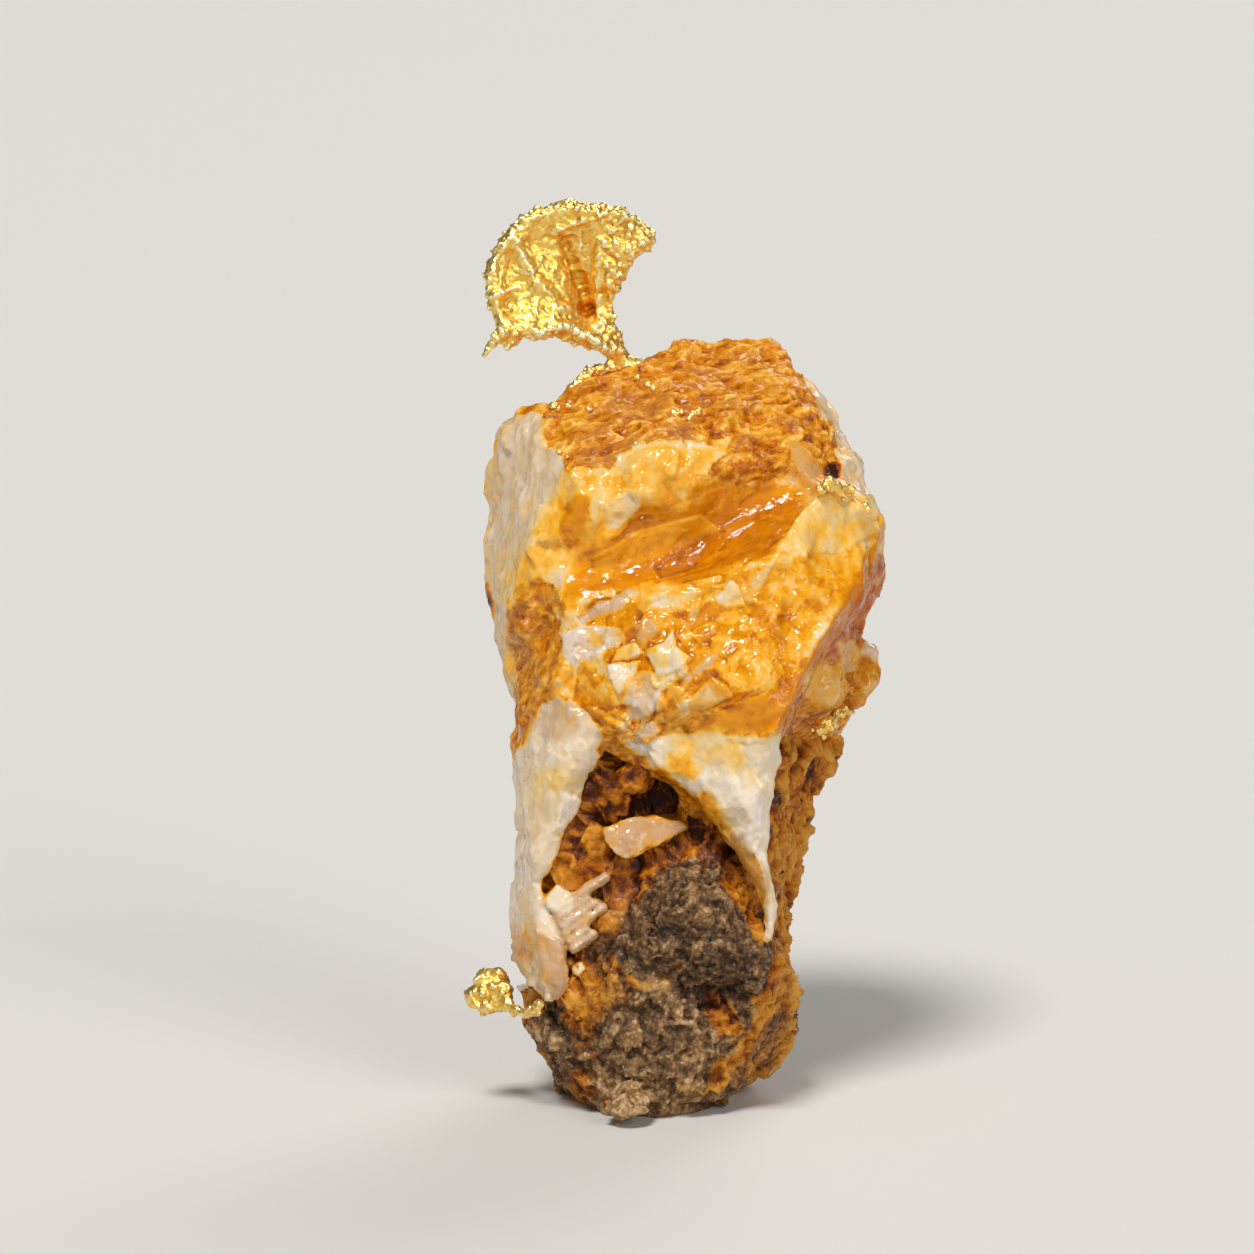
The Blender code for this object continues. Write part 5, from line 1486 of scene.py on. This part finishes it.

# %% [markdown]
# ## The gold
# The leaf is native gold that crystallized as a crumpled sheet with a beaded rim, and the other pieces
# are lumps of rounded grains. Gold does not tarnish, so its colour is all reflection. Its colour here holds
# painted light as well: a painted highlight, pale on ridges, and painted shade and reflection, deep orange
# in its folds. Fine creases and beads are shaped in the mesh, because a bump map alone would leave the
# outline smooth.

# %% Places on the leaf of gold
BOWL_OF_LEAF = [
    (-11.9, 55.3), (-11.5, 56.6), (-10.5, 58.1), (-8.8, 59.2), (-7.5, 59.3), (-5.5, 59),
    (-4.5, 58.2), (-4.4, 56.6), (-4.5, 54.6), (-4.4, 52.6), (-4.1, 51), (-5.1, 51), (-6.8, 51.7),
    (-8.5, 51.6), (-10.1, 51.3), (-11.5, 52), (-12.1, 53.3)]
LOBE_OF_LEAF = [
    (-5.1, 59.6), (-3.3, 59.8), (-1.8, 59), (-0.8, 57.8), (-1.1, 56.3), (-2.7, 55.2), (-3.5, 53.3),
    (-4.1, 53.3), (-4.4, 56.6), (-4.5, 58.4)]
FOLDS_OF_LEAF = [
    # line, height in mm, width in mm
    ([(-10.4, 57.1), (-9.2, 54.8), (-8.6, 54.1), (-7.7, 53), (-7.1, 52.6)], 0.35, 0.45),
    ([(-7.1, 57.1), (-6.6, 55.8), (-6.1, 54.1), (-5.6, 52.8)], -0.3, 0.4),
    ([(-4.8, 57.3), (-4.9, 55.2), (-4.9, 53.3), (-4.8, 52.1)], 0.30, 0.30),
    ([(-8, 57.8), (-7.1, 58.2), (-6, 58.6)], 0.25, 0.25),
    ([(-12, 53.5), (-11.1, 53.9), (-10.2, 54.2)], 0.22, 0.22),
    ([(-9.5, 50.9), (-8.4, 51.2), (-7.1, 51.6), (-5.6, 50.9), (-4.1, 49.8)], 0.25, 0.30),
]
HOLES_IN_LEAF = [((-5.6, 52.7), 0.35), ((-4.9, 51.4), 0.18)]
HOOK_OF_LEAF = [(-11.3, 51.1, 2), (-11.7, 50.8, 2), (-12, 50.4, 2), (-12.3, 50, 2), (-12.5, 49.6, 2)]
HOOK_WIDTH = (0.5, 0.2)
HOLE_DEPTH = 0.7
MIDDLE_OF_LEAF = (-8, 54.5)
REACH_OF_LEAF = 6
RIM_WIDTH = 0.15
FOOT_OF_RIM = 49.6
TOP_OF_SEAM = 50.2


print("folds of the leaf:", len(FOLDS_OF_LEAF), "holes:", len(HOLES_IN_LEAF))

# %% Folds, creases and grains of gold


def distance_to_line(right, up, line):
    """How far each place is from an open line in the front view, in millimetres."""
    nearest = np.full(len(right), 1e9)
    for (x1, y1), (x2, y2) in zip(line, line[1:]):
        along = np.array([x2 - x1, y2 - y1])
        part = np.clip(((right - x1) * along[0] + (up - y1) * along[1]) / (along @ along), 0, 1)
        nearest = np.minimum(nearest, np.hypot(right - x1 - part * along[0], up - y1 - part * along[1]))
    return nearest


def leaf_folds(places):
    """The folds of the leaf that are laid one by one, in millimetres."""
    right, up, _ = as_seen(places)
    height = np.zeros(len(places))
    for line, fold, width in FOLDS_OF_LEAF:
        height += fold * np.exp(-(distance_to_line(right, up, line) / width) ** 2)
    for middle, width in HOLES_IN_LEAF:
        height -= HOLE_DEPTH * np.exp(-(np.hypot(right - middle[0], up - middle[1]) / width) ** 2)
    return height


def gold_height(place, lumps):
    """Creases and grains on gold, in millimetres."""
    bent = bend(place, wide=1.4, most=0.5)
    creases = plate(bent, wide=1.5, high=0.10) + plate(bent, wide=0.7, high=0.06)
    creases += wave(bent, wide=0.35, high=0.06)
    grains = crystal_grain(bent, wide=0.36, high=0.10) + plate(place, wide=0.4, high=0.08)
    grains += wave(place, wide=0.15, high=0.03)
    return creases * (1 - lumps) + lumps * grains


# %% [markdown]
# The beads sit where the sheet grew fastest, along its rim, on its lobe and down the seam. They keep a
# set distance from each other, as grains that grew side by side do.

# %% Beads of gold


def spread_out(places, apart):
    """Some of the places, which keep this far apart."""
    kept = []
    for place in map(Vector, places):
        if all((place - other).length > apart for other in kept):
            kept.append(place)
    return kept


def beads(places, apart, small, large):
    """Lumps of gold on some of the places, from small to large."""
    return [
        pebble(place, small + (large - small) * noise.cell(place * BEAD_DRAW))
        for place in spread_out(places, apart)]


def leaf_beads(thing):
    """The beads on the leaf's rim and lobe, and its hook."""
    places = places_of(thing)
    right, up, _ = as_seen(places)
    bowl = depth_inside(right, up, BOWL_OF_LEAF)
    from_middle = np.hypot(right - MIDDLE_OF_LEAF[0], up - MIDDLE_OF_LEAF[1])
    rim = places[(bowl < -RIM_WIDTH) & (up > FOOT_OF_RIM) & (from_middle < REACH_OF_LEAF)]
    lobe = places[depth_inside(right, up, LOBE_OF_LEAF) > 0]
    seam = places[up < TOP_OF_SEAM]
    hook = []
    for number, corner in enumerate(HOOK_OF_LEAF):
        wide, narrow = HOOK_WIDTH
        width = wide + (narrow - wide) * number / (len(HOOK_OF_LEAF) - 1)
        hook.append(pebble(spot(*corner), width))
    rim_beads = beads(rim, apart=0.42, small=0.12, large=0.30)
    lobe_beads = beads(lobe, apart=0.5, small=0.2, large=0.38)
    return hook + rim_beads + lobe_beads + beads(seam, apart=0.5, small=0.15, large=0.3)


# %% Shape the pieces of gold
GOLD_VOXELS = {"gold_leaf": 0.09, "gold_nugget": 0.07, "gold_crust": 0.05, "gold_crest": 0.05}
LUMPINESS = 0.6

gold_pieces = {}
for node_name, voxel in GOLD_VOXELS.items():
    piece = dense_copy(node_name, voxel)
    is_leaf = node_name == "gold_leaf"
    lumps_of_gold = (
        leaf_beads(piece) if is_leaf else beads(places_of(piece), apart=0.8, small=0.15, large=0.36))
    add_shapes(piece, lumps_of_gold)
    remesh(piece, voxel)
    put_places(piece, blur(places_of(piece), edges_of(piece), rounds=1))
    places = places_of(piece)
    right, up, _ = as_seen(places)
    lumps = np.full(len(places), LUMPINESS)
    if is_leaf:
        lumps = share(-depth_inside(right, up, BOWL_OF_LEAF), -0.3, 0.2)
    heights = np.array([gold_height(Vector(place), lump) for place, lump in zip(places, lumps)])
    if is_leaf:
        facing = share(normals_of(piece) @ np.array(TOWARDS_EYE), 0.0, 0.4)
        heights += facing * leaf_folds(places)
    put_places(piece, places + normals_of(piece) * heights[:, None])
    gold_pieces[node_name] = piece
    print(node_name, "relief in mm:", round(min(heights), 2), "to", round(max(heights), 2))

# %% [markdown]
# Native gold here holds a little silver, so it is a light yellow. A metal's colour is that of its
# reflection, its IOR stays at the default, and grown gold is satin rather than polished.

# %% The material of the gold
# Pale on ridges as a painted highlight, yellow on flat stretches, deep orange in folds as painted shade and
# reflection.
GOLD_COLOURS = [(0.20, "#FFF8CC"), (0.50, "#F9CE62"), (0.95, "#D28A1A")]


def gold_material():
    """Satin yellow metal, with a painted highlight on ridges and painted shade, deep orange, in folds."""
    material, tree, where, hollow = new_material("native gold", "hollow")
    fine = add_node(
        tree, "ShaderNodeTexNoise",
        {"Scale": pattern_scale(0.22), "Detail": 4.0, "Roughness": 0.6}, {"Vector": where}).outputs["Fac"]
    depth = add_node(
        tree, "ShaderNodeMath", {"operation": "MULTIPLY_ADD", 1: 5.0, 2: 0.5}, {0: hollow}).outputs[0]
    colour = add_node(tree, "ShaderNodeValToRGB", {"stops": GOLD_COLOURS}, {"Fac": depth}).outputs["Color"]
    roughness = add_node(
        tree, "ShaderNodeMapRange", {"From Min": 0.3, "From Max": 0.7, "To Min": 0.32, "To Max": 0.48},
        {"Value": fine}).outputs["Result"]
    face_height = small_faces(tree, where, 0.3)[1]
    faceted = add_node(tree, "ShaderNodeBump", {"Strength": 0.35, "Distance": 1.0}, {"Height": face_height})
    relief = add_node(
        tree, "ShaderNodeBump", {"Strength": 0.4, "Distance": 0.04 * MM},
        {"Height": fine, "Normal": faceted.outputs["Normal"]})
    shader = add_node(
        tree, "ShaderNodeBsdfPrincipled", {"Metallic": 1.0},
        {"Base Color": colour, "Roughness": roughness, "Normal": relief.outputs["Normal"]})
    add_node(tree, "ShaderNodeOutputMaterial", links={"Surface": shader.outputs["BSDF"]})
    return material


native_gold = gold_material()
print("nodes in the material of the gold:", len(native_gold.node_tree.nodes))
for node_name, piece in gold_pieces.items():
    keep_values(piece, hollow=hollows_of(piece, rounds=6))
    dress(piece, native_gold, node_name)

# %% [markdown]
# Specks of gold lie loose in the rusty top and round the raised facet. Each one is a small lump that sits
# on the stone where the eye sees it, half sunk in, so it holds from every side.

# %% Loose specks of gold
SPECKS = [
    # right, up, radius in mm
    (-7.9, 46.2, 0.35), (-7.6, 46, 0.25), (-6.9, 46.2, 0.3), (-5.5, 46, 0.22), (-1.6, 47.6, 0.3),
    (-1.3, 47.4, 0.22), (0.2, 45.7, 0.35), (0.6, 45.8, 0.25), (1.7, 45.8, 0.35), (1.3, 45.6, 0.28),
    (1.1, 45.4, 0.2), (-2.3, 48.1, 0.25), (11.8, 40.4, 0.3), (11.4, 40, 0.2), (13.5, 40.2, 0.3),
    (13.7, 40, 0.25), (13.9, 39.8, 0.28), (-7.5, 43.2, 0.2), (-7, 42.8, 0.16), (-2.4, 43.7, 0.16),
    (-2, 38.8, 0.12), (2, 37.1, 0.12)]
SPECK_LIFT = 0.1
SPECK_VOXEL = 0.06
stone_trees = [quartz_tree, tree_of(rock)]
specks = new_object("gold_specks", bpy.data.meshes.new("gold_specks"))
add_shapes(specks, [
    pebble(on_surface(right, up, stone_trees) + TOWARDS_EYE * SPECK_LIFT, radius)
    for right, up, radius in SPECKS])
remesh(specks, SPECK_VOXEL)
places = places_of(specks)
heights = np.array([crystal_grain(Vector(place), wide=0.3, high=0.1) for place in places])
put_places(specks, places + normals_of(specks) * heights[:, None])
keep_values(specks, hollow=hollows_of(specks, rounds=6))
dress(specks, native_gold)
print("specks of gold:", len(SPECKS))

# %% [markdown]
# ## Floor and light
# A plain pale floor and soft studio light show the stone without adding to it. The key light stands
# above and a little left of the front, as the bright upper faces ask, with a weaker one on the right for
# the ridge, a faint one from the front, and one from behind that lights the edges of the flaps. Area
# lights would need a distance and a size each. A sun needs only a direction, and its width in degrees
# says how soft its shadows are.

# %% Floor
FLOOR_RADIUS = 30.0
floor_mesh = bpy.data.meshes.new("floor")
floor_shape = bmesh.new()
bmesh.ops.create_circle(floor_shape, cap_ends=True, segments=96, radius=FLOOR_RADIUS)
floor_shape.to_mesh(floor_mesh)
floor_shape.free()
floor = new_object("floor", floor_mesh)
floor_paint = bpy.data.materials.new("matt pale floor")
floor_paint.use_nodes = True
floor_shader = floor_paint.node_tree.nodes["Principled BSDF"]
floor_shader.inputs["Base Color"].default_value = linear("#D9D6D0")
floor_shader.inputs["Roughness"].default_value = 0.9
floor_mesh.materials.append(floor_paint)

# %% Lights
AIM = Vector((0, 0, 30)) * MM


def soft_sun(name, place, width, strength):
    """A far soft light from the direction of place, this many degrees wide."""
    light = bpy.data.lights.new(name, "SUN")
    light.angle = math.radians(width)
    light.energy = strength
    lamp = new_object(name, light)
    lamp.location = Vector(place) * MM
    lamp.rotation_euler = (lamp.location - AIM).to_track_quat("Z", "Y").to_euler()


soft_sun("key light", (-90, -240, 430), 15, 2.4)
soft_sun("right light", (260, -320, 220), 30, 1.0)
soft_sun("front light", (-80, -400, 90), 40, 0.2)
soft_sun("back light", (140, 300, 300), 30, 0.8)

world = bpy.data.worlds.new("pale room")
world.use_nodes = True
background = world.node_tree.nodes["Background"]
background.inputs["Color"].default_value = linear("#D8D6D2")
background.inputs["Strength"].default_value = 0.2
bpy.context.scene.world = world
bpy.context.scene.view_settings.view_transform = "Standard"
